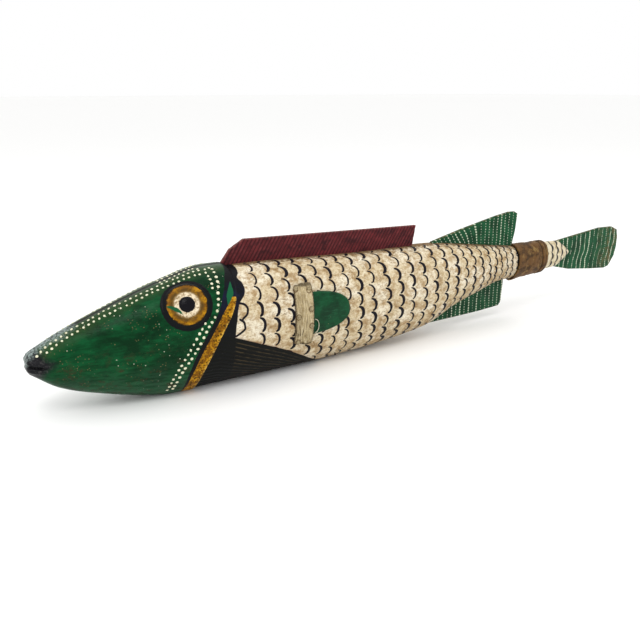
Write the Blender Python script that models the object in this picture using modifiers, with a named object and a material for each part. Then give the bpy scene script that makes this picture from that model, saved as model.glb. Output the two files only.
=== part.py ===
"""A carved and painted wooden fish with a swinging tail and two hinged side fins.

The fish lies on the flat under its belly. Its snout points to -X, its left flank to -Y, and its
back to +Z. The origin is the middle of its bounding box's underside. All sizes are in metres.
"""

import bisect
import math

import bmesh
import bpy
from mathutils import Matrix, Vector

GAP = 0.0003  # clearance between pieces that touch
SNOUT_X = -0.450

# The carved log, as lines along its length: (x, height or half width).
BACK_LINE = [
    (-0.450, 0.0625), (-0.443, 0.0697), (-0.413, 0.0851), (-0.372, 0.1010), (-0.307, 0.1227),
    (-0.262, 0.1318), (-0.200, 0.1306), (-0.051, 0.1246), (0.060, 0.1221), (0.150, 0.1106),
    (0.212, 0.1021),
]
BELLY_LINE = [
    (-0.450, 0.0546), (-0.443, 0.0446), (-0.420, 0.0266), (-0.380, 0.0119), (-0.345, 0.0027),
    (-0.310, -0.0022), (-0.250, -0.0027), (-0.140, -0.0027), (-0.090, -0.0015), (-0.016, 0.0031),
    (0.044, 0.0102), (0.096, 0.0308), (0.138, 0.0425), (0.184, 0.0534), (0.212, 0.0541),
]
WIDTH_LINE = [
    (-0.450, 0.0085), (-0.443, 0.0125), (-0.413, 0.0220), (-0.372, 0.0330), (-0.329, 0.0415),
    (-0.285, 0.0465), (-0.240, 0.0490), (-0.163, 0.0475), (-0.051, 0.0445), (0.066, 0.0370),
    (0.150, 0.0270), (0.212, 0.0178),
]
BACK_ROUNDNESS, BELLY_ROUNDNESS = 2.25, 2.0  # the section's exponents, where 2 is an ellipse
LOG_SIDES = 32
LOG_STATIONS = 44

# The rear edge of the gill cover: (height, x). It stands proud of the flank behind it.
GILL_LINE = [
    (-0.0064, -0.2875), (0.0106, -0.2845), (0.0244, -0.2807), (0.0411, -0.2741),
    (0.0600, -0.2647), (0.0739, -0.2564), (0.0885, -0.2470), (0.1006, -0.2410),
    (0.1120, -0.2380), (0.1326, -0.2355),
]
GILL_MIDDLE_X = -0.262
GILL_REACH = 0.120
GILL_PROUD = 0.0022
GILL_EDGE = 0.0015
GILL_SWELL_X = -0.330  # where the cover begins to rise

MOUTH_DEPTH, MOUTH_HEIGHT, MOUTH_Z = 0.018, 0.0024, 0.0600
EYE_X, EYE_Z, EYE_RADIUS, EYE_PROUD = -0.294, 0.1036, 0.0215, 0.0026

# Flat boards, as outlines in the fish's middle plane. The lower part of each is its tenon.
DORSAL_THICK, SMALL_FIN_THICK, EDGE_WEAR = 0.0060, 0.0050, 0.0010
DORSAL_FIN = [
    (-0.2330, 0.1186), (-0.2375, 0.1336), (-0.2270, 0.1471), (-0.2095, 0.1568),
    (0.0345, 0.1484), (0.0300, 0.1246), (0.0275, 0.1126),
]
REAR_DORSAL_FIN = [
    (0.0590, 0.1100), (0.0620, 0.1236), (0.1127, 0.1349), (0.1770, 0.1472), (0.2010, 0.1507),
    (0.2125, 0.1504), (0.2185, 0.1471), (0.2165, 0.1236), (0.2119, 0.1034), (0.2045, 0.1034),
    (0.2040, 0.0921),
]
ANAL_FIN = [
    (0.0400, 0.0112), (0.1107, 0.0124), (0.1541, 0.0134), (0.1940, 0.0158), (0.1985, 0.0211),
    (0.2005, 0.0534), (0.1960, 0.0534), (0.1950, 0.0671), (0.1200, 0.0496), (0.0520, 0.0236),
]
TAIL_FIN = [
    (0.3035, 0.0596), (0.3390, 0.0510), (0.3925, 0.0446), (0.4257, 0.0416), (0.4359, 0.0440),
    (0.4470, 0.0596), (0.4500, 0.0731), (0.4500, 0.0896), (0.4465, 0.1016), (0.4330, 0.1074),
    (0.4018, 0.1083), (0.3513, 0.1030), (0.3035, 0.0981),
]

# The core that the leather sleeve wraps: the log's neck and the tail stock's front.
NECK_X, STOCK_END_X = 0.2125, 0.3350
CORE_HALF_HEIGHT = [
    (0.212, 0.0232), (0.250, 0.0220), (0.284, 0.0204), (0.306, 0.0196), (0.320, 0.0130),
    (0.335, 0.0020),
]
CORE_HALF_WIDTH = [
    (0.212, 0.0165), (0.250, 0.0150), (0.284, 0.0125), (0.306, 0.0095), (0.320, 0.0066),
    (0.335, 0.0042),
]
CORE_MIDDLE = [(0.212, 0.0781), (0.250, 0.0782), (0.284, 0.0788), (0.335, 0.0788)]
TAIL_AXIS_X = 0.2460
END_SPARE = 0.002  # how far past the axis each wooden end is drawn before it is bevelled
TAIL_GAP = 0.0040  # between the two wooden ends, at the middle plane
TAIL_BEVEL = math.radians(18)  # each end falls away from the axis, so that the tail can swing
SLEEVE_FRONT_X, SLEEVE_REAR_X, SLEEVE_WALL = 0.2130, 0.2755, 0.0023
SLOT_FRONT_X = 0.3030

# The side fins and the leather straps that hinge them.
FIN_MIDDLE_Z = 0.0726
FIN_ROOT_X, FIN_FREE_X, FIN_TIP_X = -0.1580, -0.1500, -0.0985
FIN_ROOT_HALF, FIN_HALF = 0.0320, 0.0240
FIN_THICK, FIN_STANDOFF = 0.0036, 0.0006
STRAP_FRONT_X, STRAP_REAR_X, STRAP_HALF, STRAP_THICK = -0.1710, -0.1492, 0.0340, 0.0016
STRAP_RISE = (-0.1640, -0.1592)  # where the strap climbs from the flank onto the fin
STRAP_ON_FIN = FIN_STANDOFF + FIN_THICK + GAP
FIN_AXIS_X, FIN_AXIS_OUT = -0.1605, 0.0025  # the strap bends here, this far off the flank

FLANK_NAIL_X, FLANK_NAIL_HEIGHTS = -0.1676, (0.0300, -0.0010, -0.0310)
FIN_NAIL_X, FIN_NAIL_HEIGHTS = -0.1530, (0.0280, 0.0070, -0.0120)
NAIL_HEAD, NAIL_DOME, NAIL_SHANK = 0.0027, 0.0011, 0.0008
FLANK_NAIL_LENGTH, FIN_NAIL_LENGTH = 0.0130, 0.0052
TACK_HEAD, TACK_DOME, TACK_SHANK, TACK_LENGTH = 0.0026, 0.0010, 0.0007, 0.0100
NAIL_SEAT, TACK_SEAT = 0.0005, 0.0007  # each head clears the curve of the leather below it
NECK_TACK_X, STOCK_TACK_X = 0.2240, 0.2660
BELLY_NAIL_X, BELLY_NAIL_Z, BELLY_NAIL_PROUD = -0.1045, 0.0096, 0.0018
BELLY_NAIL_HEAD, BELLY_NAIL_DOME = 0.0018, 0.0009
LOOP_WIRE, LOOP_X, LOOP_BULGE, LOOP_LEG = 0.0008, -0.1475, 0.0052, 0.0026
LOOP_TOP_Z, LOOP_BOTTOM_Z = 0.0666, 0.0516
HOLE_PLAY, DRILL_ABOVE = 0.0003, 0.006


def smooth_line(points):
    """A function through (position, value) points that never overshoots them."""
    xs = [p[0] for p in points]
    ys = [p[1] for p in points]
    slopes = [(ys[i + 1] - ys[i]) / (xs[i + 1] - xs[i]) for i in range(len(xs) - 1)]
    tangents = [slopes[0]]
    for before, after in zip(slopes, slopes[1:]):
        tangents.append(0.0 if before * after <= 0 else 2 * before * after / (before + after))
    tangents.append(slopes[-1])

    def value(x):
        x = min(max(x, xs[0]), xs[-1])
        i = min(max(bisect.bisect_right(xs, x) - 1, 0), len(xs) - 2)
        step = xs[i + 1] - xs[i]
        t = (x - xs[i]) / step
        return (
            ys[i] * (1 + 2 * t) * (1 - t) ** 2
            + ys[i + 1] * t * t * (3 - 2 * t)
            + step * tangents[i] * t * (1 - t) ** 2
            - step * tangents[i + 1] * t * t * (1 - t)
        )

    return value


def smoothstep(low, high, x):
    """0 below low, 1 above high, and an even ramp between them."""
    t = min(max((x - low) / (high - low), 0.0), 1.0)
    return t * t * (3 - 2 * t)


back, belly, half_width = (smooth_line(p) for p in (BACK_LINE, BELLY_LINE, WIDTH_LINE))
gill_x = smooth_line(GILL_LINE)
core_half_height, core_half_width, core_middle = (
    smooth_line(p) for p in (CORE_HALF_HEIGHT, CORE_HALF_WIDTH, CORE_MIDDLE)
)


def unit_section(angle):
    """A point of the cross-section, as shares of its half width and half height."""
    c, s = math.cos(angle), math.sin(angle)
    power = 2 / (BACK_ROUNDNESS if s > 0 else BELLY_ROUNDNESS)
    return (
        math.copysign(abs(c) ** power, c),
        math.copysign(abs(s) ** power, s),
    )


def log_section(x):
    """(middle height, half height, half width) of the carved log."""
    if x > NECK_X:
        return core_middle(x), core_half_height(x), core_half_width(x)
    return (back(x) + belly(x)) / 2, (back(x) - belly(x)) / 2, half_width(x)


def flank(x, z):
    """Half width of the log at this height."""
    middle, half_height, width = log_section(x)
    roundness = BACK_ROUNDNESS if z > middle else BELLY_ROUNDNESS
    share = min(abs((z - middle) / half_height), 1.0)
    return width * (1 - share**roundness) ** (1 / roundness)


def flank_normal(x, z, side):
    """The outward direction of the flank. side is -1 on the left flank and 1 on the right."""
    d = 0.0005
    along = (flank(x + d, z) - flank(x - d, z)) / (2 * d)
    up = (flank(x, z + d) - flank(x, z - d)) / (2 * d)
    return Vector((-along, side, -up)).normalized()


def climb(x, z, distance):
    """The height reached from z by going this far up round the flank."""
    steps, d = 8, 0.0005
    for _ in range(steps):
        slope = (flank(x, z + d) - flank(x, z - d)) / (2 * d)
        z += distance / steps / math.hypot(1, slope)
    return z


def off_flank(x, z, side, distance):
    """The point this far out from the flank, along its normal."""
    return Vector((x, side * flank(x, z), z)) + flank_normal(x, z, side) * distance


def material(name, colour, roughness, metallic=0.0):
    made = bpy.data.materials.new(name)
    made.use_nodes = True
    shader = made.node_tree.nodes["Principled BSDF"]
    shader.inputs["Base Color"].default_value = (*colour, 1.0)
    shader.inputs["Roughness"].default_value = roughness
    shader.inputs["Metallic"].default_value = metallic
    return made


def add_object(name, mesh, collection, finish=None):
    """Links a mesh as an object, shaded smooth where its faces meet at a low angle."""
    made = bpy.data.objects.new(name, mesh)
    collection.objects.link(made)
    if finish:
        mesh.materials.append(finish)
    mesh.shade_smooth()
    mesh.set_sharp_from_angle(angle=math.radians(35))
    return made


def hinge(name, place, pieces, collection):
    """An empty on a joint's axis, with the pieces that swing about it as its children."""
    pivot = bpy.data.objects.new(name, None)
    pivot.empty_display_size = 0.02
    pivot.location = place
    collection.objects.link(pivot)
    bpy.context.view_layer.update()
    for piece in pieces:
        piece.parent = pivot
        piece.matrix_parent_inverse = pivot.matrix_world.inverted()


def mesh_from(bm, name):
    mesh = bpy.data.meshes.new(name)
    bm.to_mesh(mesh)
    bm.free()
    return mesh


def as_cutter(made, cutters):
    """Makes an object a helper that only cuts others."""
    for collection in list(made.users_collection):
        collection.objects.unlink(made)
    cutters.objects.link(made)
    made.hide_render = True
    made.display_type = "WIRE"
    return made


def apply_boolean(target, other, operation="DIFFERENCE"):
    modifier = target.modifiers.new(f"{operation.lower()}_{other.name}", "BOOLEAN")
    modifier.operation = operation
    modifier.solver = "EXACT"
    modifier.object = other


def lofted_solid(name, place, stations, sides, collection, finish):
    """A long closed solid: a capped cylinder, cut into rings that place() then moves.

    place(x, angle) is the surface point of the ring at x.
    """
    bm = bmesh.new()
    bmesh.ops.create_cone(
        bm, cap_ends=True, segments=sides, radius1=1, radius2=1, depth=1,
        matrix=Matrix.Rotation(math.pi / 2, 4, "Y") @ Matrix.Translation((0, 0, 0.5)),
    )
    last = len(stations) - 1
    for cut in range(1, last):
        geometry = bm.verts[:] + bm.edges[:] + bm.faces[:]
        bmesh.ops.bisect_plane(bm, geom=geometry, plane_co=(cut / last, 0, 0), plane_no=(1, 0, 0))
    for vertex in bm.verts:
        x = stations[round(vertex.co.x * last)]
        vertex.co = place(x, math.atan2(vertex.co.z, vertex.co.y))
    bmesh.ops.recalc_face_normals(bm, faces=bm.faces)
    return add_object(name, mesh_from(bm, name), collection, finish)


def widened(outline, distance):
    """The outline with each of its edges moved out by this distance."""
    points = [Vector(p) for p in outline]
    if sum(a.cross(b) for a, b in zip(points, points[1:] + points[:1])) < 0:
        distance = -distance
    moved = []
    for before, point, after in zip(points[-1:] + points, points, points[1:] + points[:1]):
        normals = [Vector((d.y, -d.x)).normalized() for d in (point - before, after - point)]
        corner = (normals[0] + normals[1]).normalized()
        moved.append(point + corner * distance / corner.dot(normals[0]))
    return moved


def board(name, outline, thick, collection, finish=None, grow=0.0, bevel=0.0):
    """A flat board in the middle plane, from its outline. grow widens it all round."""
    curve = bpy.data.curves.new(name, "CURVE")
    curve.dimensions = "2D"
    curve.fill_mode = "BOTH"
    curve.extrude = thick / 2 + grow
    spline = curve.splines.new("POLY")
    spline.points.add(len(outline) - 1)
    spline.use_cyclic_u = True
    for point, (x, z) in zip(spline.points, widened(outline, grow)):
        point.co = (x, z, 0, 1)
    drawn = bpy.data.objects.new(name + "_outline", curve)
    drawn.matrix_world = Matrix.Rotation(math.pi / 2, 4, "X")
    collection.objects.link(drawn)
    bpy.context.view_layer.update()
    graph = bpy.context.evaluated_depsgraph_get()
    mesh = bpy.data.meshes.new_from_object(drawn.evaluated_get(graph))
    bm = bmesh.new()
    bm.from_mesh(mesh)
    bmesh.ops.remove_doubles(bm, verts=bm.verts, dist=0.00002)
    bmesh.ops.dissolve_limit(bm, angle_limit=0.01, verts=bm.verts, edges=bm.edges)
    bm.to_mesh(mesh)
    bm.free()
    made = add_object(name, mesh, collection, finish)
    made.matrix_world = drawn.matrix_world
    bpy.data.objects.remove(drawn)
    if bevel:
        rounding = made.modifiers.new("worn_edges", "BEVEL")
        rounding.width = bevel
        rounding.segments = 2
        rounding.limit_method = "ANGLE"
        rounding.angle_limit = math.radians(60)
    return made


def cylinder(name, radius, start, end, collection, sides=8):
    """A plain cylinder between two points."""
    axis = Vector(end) - Vector(start)
    bm = bmesh.new()
    bmesh.ops.create_cone(
        bm, cap_ends=True, segments=sides, radius1=radius, radius2=radius, depth=axis.length
    )
    made = add_object(name, mesh_from(bm, name), collection)
    made.location = (Vector(start) + Vector(end)) / 2
    made.rotation_mode = "QUATERNION"
    made.rotation_quaternion = axis.to_track_quat("Z", "Y")
    return made


def prism(name, outline, low, high, collection):
    """An upright prism over an outline in x and y."""
    bm = bmesh.new()
    face = bm.faces.new([bm.verts.new((x, y, low)) for x, y in outline])
    raised = bmesh.ops.extrude_face_region(bm, geom=[face])["geom"]
    for vertex in (g for g in raised if isinstance(g, bmesh.types.BMVert)):
        vertex.co.z = high
    bmesh.ops.recalc_face_normals(bm, faces=bm.faces)
    return add_object(name, mesh_from(bm, name), collection)


def nail(name, place, outward, head, dome, shank, length, collection, finish):
    """A nail turned about its own axis, driven in along -outward, its head resting on place."""
    profile = [(0.0, dome)]
    for degrees in (60, 30, 0):
        angle = math.radians(degrees)
        profile.append((head * math.cos(angle), dome * (0.25 + 0.75 * math.sin(angle))))
    profile += [(head, 0.0), (shank, 0.0), (shank, -length * 0.8), (0.0, -length)]
    bm = bmesh.new()
    points = [bm.verts.new((x, 0, z)) for x, z in profile]
    for first, second in zip(points, points[1:]):
        bm.edges.new((first, second))
    made = add_object(name, mesh_from(bm, name), collection, finish)
    turning = made.modifiers.new("turned", "SCREW")
    turning.axis = "Z"
    turning.steps = turning.render_steps = 10
    turning.use_merge_vertices = True
    turning.merge_threshold = 0.00005
    made.location = place
    made.rotation_mode = "QUATERNION"
    made.rotation_quaternion = Vector(outward).to_track_quat("Z", "Y")
    return made


def drill(targets, name, place, outward, radius, depth, cutters):
    """Drills the same round hole through each target."""
    outward = Vector(outward)
    hole = cylinder(
        name, radius, place + outward * DRILL_ABOVE, place - outward * (depth + HOLE_PLAY), cutters
    )
    as_cutter(hole, cutters)
    for target in targets:
        apply_boolean(target, hole)


def log_point(x, angle):
    """A surface point of the log. Its rings lean with the gill cover near the gill."""
    across, up = unit_section(angle)
    middle, half_height, _ = log_section(x)
    lean = gill_x(middle + half_height * up) - GILL_MIDDLE_X
    leaned = x + lean * (1 - smoothstep(0.0, GILL_REACH, abs(x - GILL_MIDDLE_X)))
    middle, half_height, width = log_section(leaned)
    if x <= GILL_MIDDLE_X:
        width += GILL_PROUD * smoothstep(GILL_SWELL_X, GILL_MIDDLE_X, x)
    return leaned, width * across, middle + half_height * up


def log_stations():
    """Ring places along the log: close at the snout, and doubled where its shape steps."""
    even = [SNOUT_X + (NECK_X - SNOUT_X) * (i / LOG_STATIONS) ** 1.25 for i in range(LOG_STATIONS)]
    steps = [GILL_MIDDLE_X, GILL_MIDDLE_X + GILL_EDGE, NECK_X, NECK_X + GAP]
    kept = [x for x in even if all(abs(x - s) > 0.004 for s in steps)]
    return sorted(kept + steps + [TAIL_AXIS_X + END_SPARE])


def eye_boss(word, side, cutters):
    """A round pad, laid on the flank as cloth would be, that stands a little proud of it."""
    columns, depth = 12, 0.010

    def place(column, v):
        u = 2 * column / columns - 1
        across, up = u * math.sqrt(1 - v * v / 2), v * math.sqrt(1 - u * u / 2)
        x = EYE_X + EYE_RADIUS * across
        return x, climb(x, EYE_Z, EYE_RADIUS * up), EYE_PROUD - depth

    boss = flank_sheet(f"eye_boss_{word}", columns, columns, place, side, cutters, None)
    thicken(boss, depth)
    return boss


def belly_block(cutters):
    """The block that planes the belly flat at z = 0."""
    outline = [(-0.5, -0.1), (0.1, -0.1), (0.1, 0.1), (-0.5, 0.1)]
    return as_cutter(prism("belly_plane", outline, -0.05, 0.0, cutters), cutters)


def mouth_wedge(cutters):
    """The thin wedge that splits the lips."""
    back_x = SNOUT_X + MOUTH_DEPTH
    bm = bmesh.new()
    corners = [(SNOUT_X - 0.01, MOUTH_Z + MOUTH_HEIGHT), (SNOUT_X - 0.01, MOUTH_Z - MOUTH_HEIGHT),
               (back_x, MOUTH_Z)]
    face = bm.faces.new([bm.verts.new((x, -0.05, z)) for x, z in corners])
    raised = bmesh.ops.extrude_face_region(bm, geom=[face])["geom"]
    for vertex in (g for g in raised if isinstance(g, bmesh.types.BMVert)):
        vertex.co.y = 0.05
    bmesh.ops.recalc_face_normals(bm, faces=bm.faces)
    return as_cutter(add_object("mouth_wedge", mesh_from(bm, "mouth_wedge"), cutters), cutters)


def end_bevel(name, towards, cutters):
    """Cuts a wooden end to a blunt upright ridge beside the tail's axis."""
    ridge = TAIL_AXIS_X - towards * TAIL_GAP / 2
    reach = 0.04
    fall = reach * math.tan(TAIL_BEVEL)
    far = TAIL_AXIS_X + towards * 0.05
    outline = [(ridge, 0), (ridge - towards * fall, reach), (far, reach), (far, -reach),
               (ridge - towards * fall, -reach)]
    return as_cutter(prism(name, outline, 0.02, 0.15, cutters), cutters)


def make_log(fish, cutters, wood):
    """The head and trunk, carved from one log, with the slots for its fins."""
    log = lofted_solid("fish_body", log_point, log_stations(), LOG_SIDES, fish, wood)
    for side, word in ((-1, "left"), (1, "right")):
        apply_boolean(log, as_cutter(eye_boss(word, side, cutters), cutters), "UNION")
    for cutter in (belly_block(cutters), mouth_wedge(cutters), end_bevel("neck_end", 1, cutters)):
        apply_boolean(log, cutter)
    for name, outline, thick in (
        ("dorsal_slot", DORSAL_FIN, DORSAL_THICK),
        ("rear_dorsal_slot", REAR_DORSAL_FIN, SMALL_FIN_THICK),
        ("anal_slot", ANAL_FIN, SMALL_FIN_THICK),
    ):
        slot = board(name, outline, thick, cutters, grow=GAP)
        apply_boolean(log, as_cutter(slot, cutters))
    return log


def make_tail(fish, cutters, wood, green):
    """The tail stock, with the tail fin in its slot."""
    front_x = TAIL_AXIS_X - END_SPARE
    stations = [front_x, 0.262, 0.275, 0.288, 0.298, 0.306, 0.313, 0.320, 0.328, STOCK_END_X]

    def stock_point(x, angle):
        across, up = unit_section(angle)
        return x, core_half_width(x) * across, core_middle(x) + core_half_height(x) * up

    stock = lofted_solid("tail_stock", stock_point, stations, LOG_SIDES, fish, wood)
    apply_boolean(stock, end_bevel("stock_end", -1, cutters))
    half_slot = SMALL_FIN_THICK / 2 + GAP
    outline = [(SLOT_FRONT_X, -half_slot), (0.36, -half_slot), (0.36, half_slot),
               (SLOT_FRONT_X, half_slot)]
    apply_boolean(stock, as_cutter(prism("tail_slot", outline, 0.02, 0.15, cutters), cutters))
    fin = board("tail_fin", TAIL_FIN, SMALL_FIN_THICK, fish, green, bevel=EDGE_WEAR)
    return stock, fin


def make_sleeve(fish, leather):
    """The leather sleeve, shrunk over both wooden ends, as an open tube given its wall."""
    sides, rings = LOG_SIDES, 8
    bm = bmesh.new()
    bmesh.ops.create_cone(
        bm, cap_ends=False, segments=sides, radius1=1, radius2=1, depth=1,
        matrix=Matrix.Rotation(math.pi / 2, 4, "Y") @ Matrix.Translation((0, 0, 0.5)),
    )
    for cut in range(1, rings):
        geometry = bm.verts[:] + bm.edges[:] + bm.faces[:]
        bmesh.ops.bisect_plane(bm, geom=geometry, plane_co=(cut / rings, 0, 0), plane_no=(1, 0, 0))
    for vertex in bm.verts:
        x = SLEEVE_FRONT_X + (SLEEVE_REAR_X - SLEEVE_FRONT_X) * vertex.co.x
        across, up = unit_section(math.atan2(vertex.co.z, vertex.co.y))
        vertex.co = (
            x,
            (core_half_width(x) + GAP) * across,
            core_middle(x) + (core_half_height(x) + GAP) * up,
        )
    middle = Vector((0, 0, core_middle(SLEEVE_FRONT_X)))
    faces_out(bm, lambda face: face.normal.dot(face.calc_center_median() - middle))
    sleeve = add_object("tail_sleeve", mesh_from(bm, "tail_sleeve"), fish, leather)
    thicken(sleeve, SLEEVE_WALL)
    return sleeve


def faces_out(bm, outwardness):
    """Turns an open surface round if its faces point inwards."""
    bm.normal_update()
    if sum(outwardness(face) for face in bm.faces) < 0:
        bmesh.ops.reverse_faces(bm, faces=bm.faces)


def thicken(made, thick):
    """Gives an open surface its thickness, outwards."""
    wall = made.modifiers.new("thickness", "SOLIDIFY")
    wall.thickness = thick
    wall.offset = 1.0
    wall.use_even_offset = True


def flank_sheet(name, columns, rows, place, side, collection, finish):
    """An open sheet that follows the flank. place(u, v) gives its x, z and standoff."""
    bm = bmesh.new()
    bmesh.ops.create_grid(bm, x_segments=columns, y_segments=rows, size=0.5)
    for vertex in bm.verts:
        x, z, standoff = place(round((vertex.co.x + 0.5) * columns), 2 * vertex.co.y)
        vertex.co = off_flank(x, z, side, standoff)
    bmesh.ops.remove_doubles(bm, verts=bm.verts, dist=0.00005)
    faces_out(bm, lambda face: face.normal.y * side)
    return add_object(name, mesh_from(bm, name), collection, finish)


def make_side_fin(word, side, fish, finish):
    """A board carved to hug the flank: a tall root under the strap, then a half oval."""
    roots = [FIN_ROOT_X, (FIN_ROOT_X + FIN_FREE_X) / 2, FIN_FREE_X]
    turns = 9
    length = FIN_TIP_X - FIN_FREE_X
    bends = [math.pi / 2 * (i / turns) for i in range(turns + 1)]
    columns = [(x, FIN_ROOT_HALF) for x in roots]
    columns += [
        (FIN_FREE_X + 0.0002 + (length - 0.0002) * math.sin(b), FIN_HALF * math.cos(b) ** 0.75)
        for b in bends
    ]

    def place(column, v):
        x, half = columns[column]
        return x, FIN_MIDDLE_Z + v * half, FIN_STANDOFF

    name = f"side_fin_{word}"
    fin = flank_sheet(name, len(columns) - 1, 8, place, side, fish, finish)
    thicken(fin, FIN_THICK)
    return fin


def make_strap(word, side, fish, leather):
    """The leather strap: nailed to the flank in front, and to the fin's root behind."""
    turns = 10

    def place(column, v):
        x = STRAP_FRONT_X + (STRAP_REAR_X - STRAP_FRONT_X) * column / turns
        climb = smoothstep(*STRAP_RISE, x)
        return x, FIN_MIDDLE_Z + v * STRAP_HALF, GAP + (STRAP_ON_FIN - GAP) * climb

    strap = flank_sheet(f"fin_strap_{word}", turns, 8, place, side, fish, leather)
    thicken(strap, STRAP_THICK)
    return strap


def make_strap_nails(word, side, log, fin, strap, fish, cutters, iron):
    """Three nails through the strap into the flank, and three into the fin's root.

    Returns the three that swing with the fin.
    """
    made = []
    rows = (
        ("flank", FLANK_NAIL_X, FLANK_NAIL_HEIGHTS, GAP, FLANK_NAIL_LENGTH, log),
        ("fin", FIN_NAIL_X, FIN_NAIL_HEIGHTS, STRAP_ON_FIN, FIN_NAIL_LENGTH, fin),
    )
    for row, x, heights, under_strap, length, wood in rows:
        for number, height in enumerate(heights, 1):
            z = FIN_MIDDLE_Z + height
            outward = flank_normal(x, z, side)
            seat = off_flank(x, z, side, under_strap + STRAP_THICK + NAIL_SEAT)
            name = f"{row}_nail_{word}_{number}"
            made.append(
                nail(name, seat, outward, NAIL_HEAD, NAIL_DOME, NAIL_SHANK, length, fish, iron)
            )
            drill([strap, wood], name + "_hole", seat, outward, NAIL_SHANK + HOLE_PLAY, length,
                  cutters)
    return made[3:]


def make_wire_loop(word, side, fin, fish, cutters, iron):
    """The wire loop for the fin's pull cord, its two legs set in the fin."""
    face = FIN_STANDOFF + FIN_THICK
    middle, half = (LOOP_TOP_Z + LOOP_BOTTOM_Z) / 2, (LOOP_TOP_Z - LOOP_BOTTOM_Z) / 2
    lift = LOOP_WIRE + GAP
    points = [off_flank(LOOP_X, LOOP_TOP_Z, side, face - LOOP_LEG)]
    for degrees in range(90, -91, -20):
        angle = math.radians(degrees)
        x = LOOP_X + LOOP_BULGE * math.cos(angle)
        points.append(off_flank(x, middle + half * math.sin(angle), side, face + lift))
    points.append(off_flank(LOOP_X, LOOP_BOTTOM_Z, side, face - LOOP_LEG))
    curve = bpy.data.curves.new(f"pull_loop_{word}", "CURVE")
    curve.dimensions = "3D"
    curve.bevel_depth = LOOP_WIRE
    curve.bevel_resolution = 1
    curve.use_fill_caps = True
    spline = curve.splines.new("POLY")
    spline.points.add(len(points) - 1)
    for point, place in zip(spline.points, points):
        point.co = (*place, 1)
    curve.materials.append(iron)
    loop = bpy.data.objects.new(f"pull_loop_{word}", curve)
    fish.objects.link(loop)
    for height, z in (("top", LOOP_TOP_Z), ("bottom", LOOP_BOTTOM_Z)):
        outward = flank_normal(LOOP_X, z, side)
        seat = off_flank(LOOP_X, z, side, face)
        drill([fin], f"loop_hole_{word}_{height}", seat, outward, LOOP_WIRE + 2 * HOLE_PLAY,
              LOOP_LEG, cutters)
    return loop


def make_sleeve_tacks(log, stock, sleeve, fish, cutters, iron):
    """Four tacks that hold the sleeve, on the right flank and the underside.

    Returns the two that swing with the tail.
    """
    made = []
    for piece, x, wood in (("neck", NECK_TACK_X, log), ("stock", STOCK_TACK_X, stock)):
        for place, across, up in (("side", 1, 0), ("under", 0, -1)):
            outward = Vector((0, across, up))
            reach = core_half_width(x) if across else core_half_height(x)
            seat = Vector((x, 0, core_middle(x))) + outward * (reach + SLEEVE_WALL + TACK_SEAT)
            name = f"{piece}_tack_{place}"
            made.append(
                nail(name, seat, outward, TACK_HEAD, TACK_DOME, TACK_SHANK, TACK_LENGTH, fish, iron)
            )
            drill([sleeve, wood], name + "_hole", seat, outward, TACK_SHANK + HOLE_PLAY,
                  TACK_LENGTH, cutters)
    return made[2:]


def make_belly_nail(log, fish, cutters, iron):
    """The nail left standing proud, low on the left flank."""
    outward = flank_normal(BELLY_NAIL_X, BELLY_NAIL_Z, -1)
    seat = off_flank(BELLY_NAIL_X, BELLY_NAIL_Z, -1, BELLY_NAIL_PROUD)
    nail("belly_nail", seat, outward, BELLY_NAIL_HEAD, BELLY_NAIL_DOME, NAIL_SHANK,
         FLANK_NAIL_LENGTH, fish, iron)
    drill([log], "belly_nail_hole", seat, outward, NAIL_SHANK + HOLE_PLAY, FLANK_NAIL_LENGTH,
          cutters)


def main():
    for old in list(bpy.data.objects):
        bpy.data.objects.remove(old)
    fish = bpy.data.collections.new("painted_fish")
    cutters = bpy.data.collections.new("cutters")
    for collection in (fish, cutters):
        bpy.context.scene.collection.children.link(collection)
    wood = material("cream_painted_wood", (0.62, 0.50, 0.34), 0.60)
    green = material("green_enamel", (0.012, 0.100, 0.038), 0.28)
    red = material("red_painted_wood", (0.130, 0.014, 0.016), 0.55)
    leather = material("brown_hide", (0.130, 0.078, 0.036), 0.65)
    iron = material("painted_iron", (0.34, 0.26, 0.17), 0.50, 0.4)

    log = make_log(fish, cutters, wood)
    board("dorsal_fin", DORSAL_FIN, DORSAL_THICK, fish, red, bevel=EDGE_WEAR)
    board("rear_dorsal_fin", REAR_DORSAL_FIN, SMALL_FIN_THICK, fish, green, bevel=EDGE_WEAR)
    board("anal_fin", ANAL_FIN, SMALL_FIN_THICK, fish, green, bevel=EDGE_WEAR)
    stock, tail_fin = make_tail(fish, cutters, wood, green)
    sleeve = make_sleeve(fish, leather)
    tacks = make_sleeve_tacks(log, stock, sleeve, fish, cutters, iron)
    tail_place = (TAIL_AXIS_X, 0, core_middle(TAIL_AXIS_X))
    hinge("tail_swing", tail_place, [stock, tail_fin, *tacks], fish)
    for word, side in (("left", -1), ("right", 1)):
        fin = make_side_fin(word, side, fish, green)
        strap = make_strap(word, side, fish, leather)
        nails = make_strap_nails(word, side, log, fin, strap, fish, cutters, iron)
        loop = make_wire_loop(word, side, fin, fish, cutters, iron)
        out = side * (flank(FIN_AXIS_X, FIN_MIDDLE_Z) + FIN_AXIS_OUT)
        fin_place = (FIN_AXIS_X, out, FIN_MIDDLE_Z)
        hinge(f"{word}_fin_flap", fin_place, [fin, loop, *nails], fish)
    make_belly_nail(log, fish, cutters, iron)


main()
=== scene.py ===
"""A carved and painted wooden fish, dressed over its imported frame.

The log is one fine surface with its gill edge, eyes, mouth and belly ridges cut in relief. It
carries its brushwork as fields in millimetres, such as the distance into a brush stroke, and the
paint reads them. The boards, leather, nails and wire are pieces of their own.
"""

import logging
import math
from dataclasses import dataclass, field
from enum import Enum
from functools import reduce
from typing import Callable, Optional, Union

import bpy
import numpy as np
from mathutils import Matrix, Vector, noise


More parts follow.
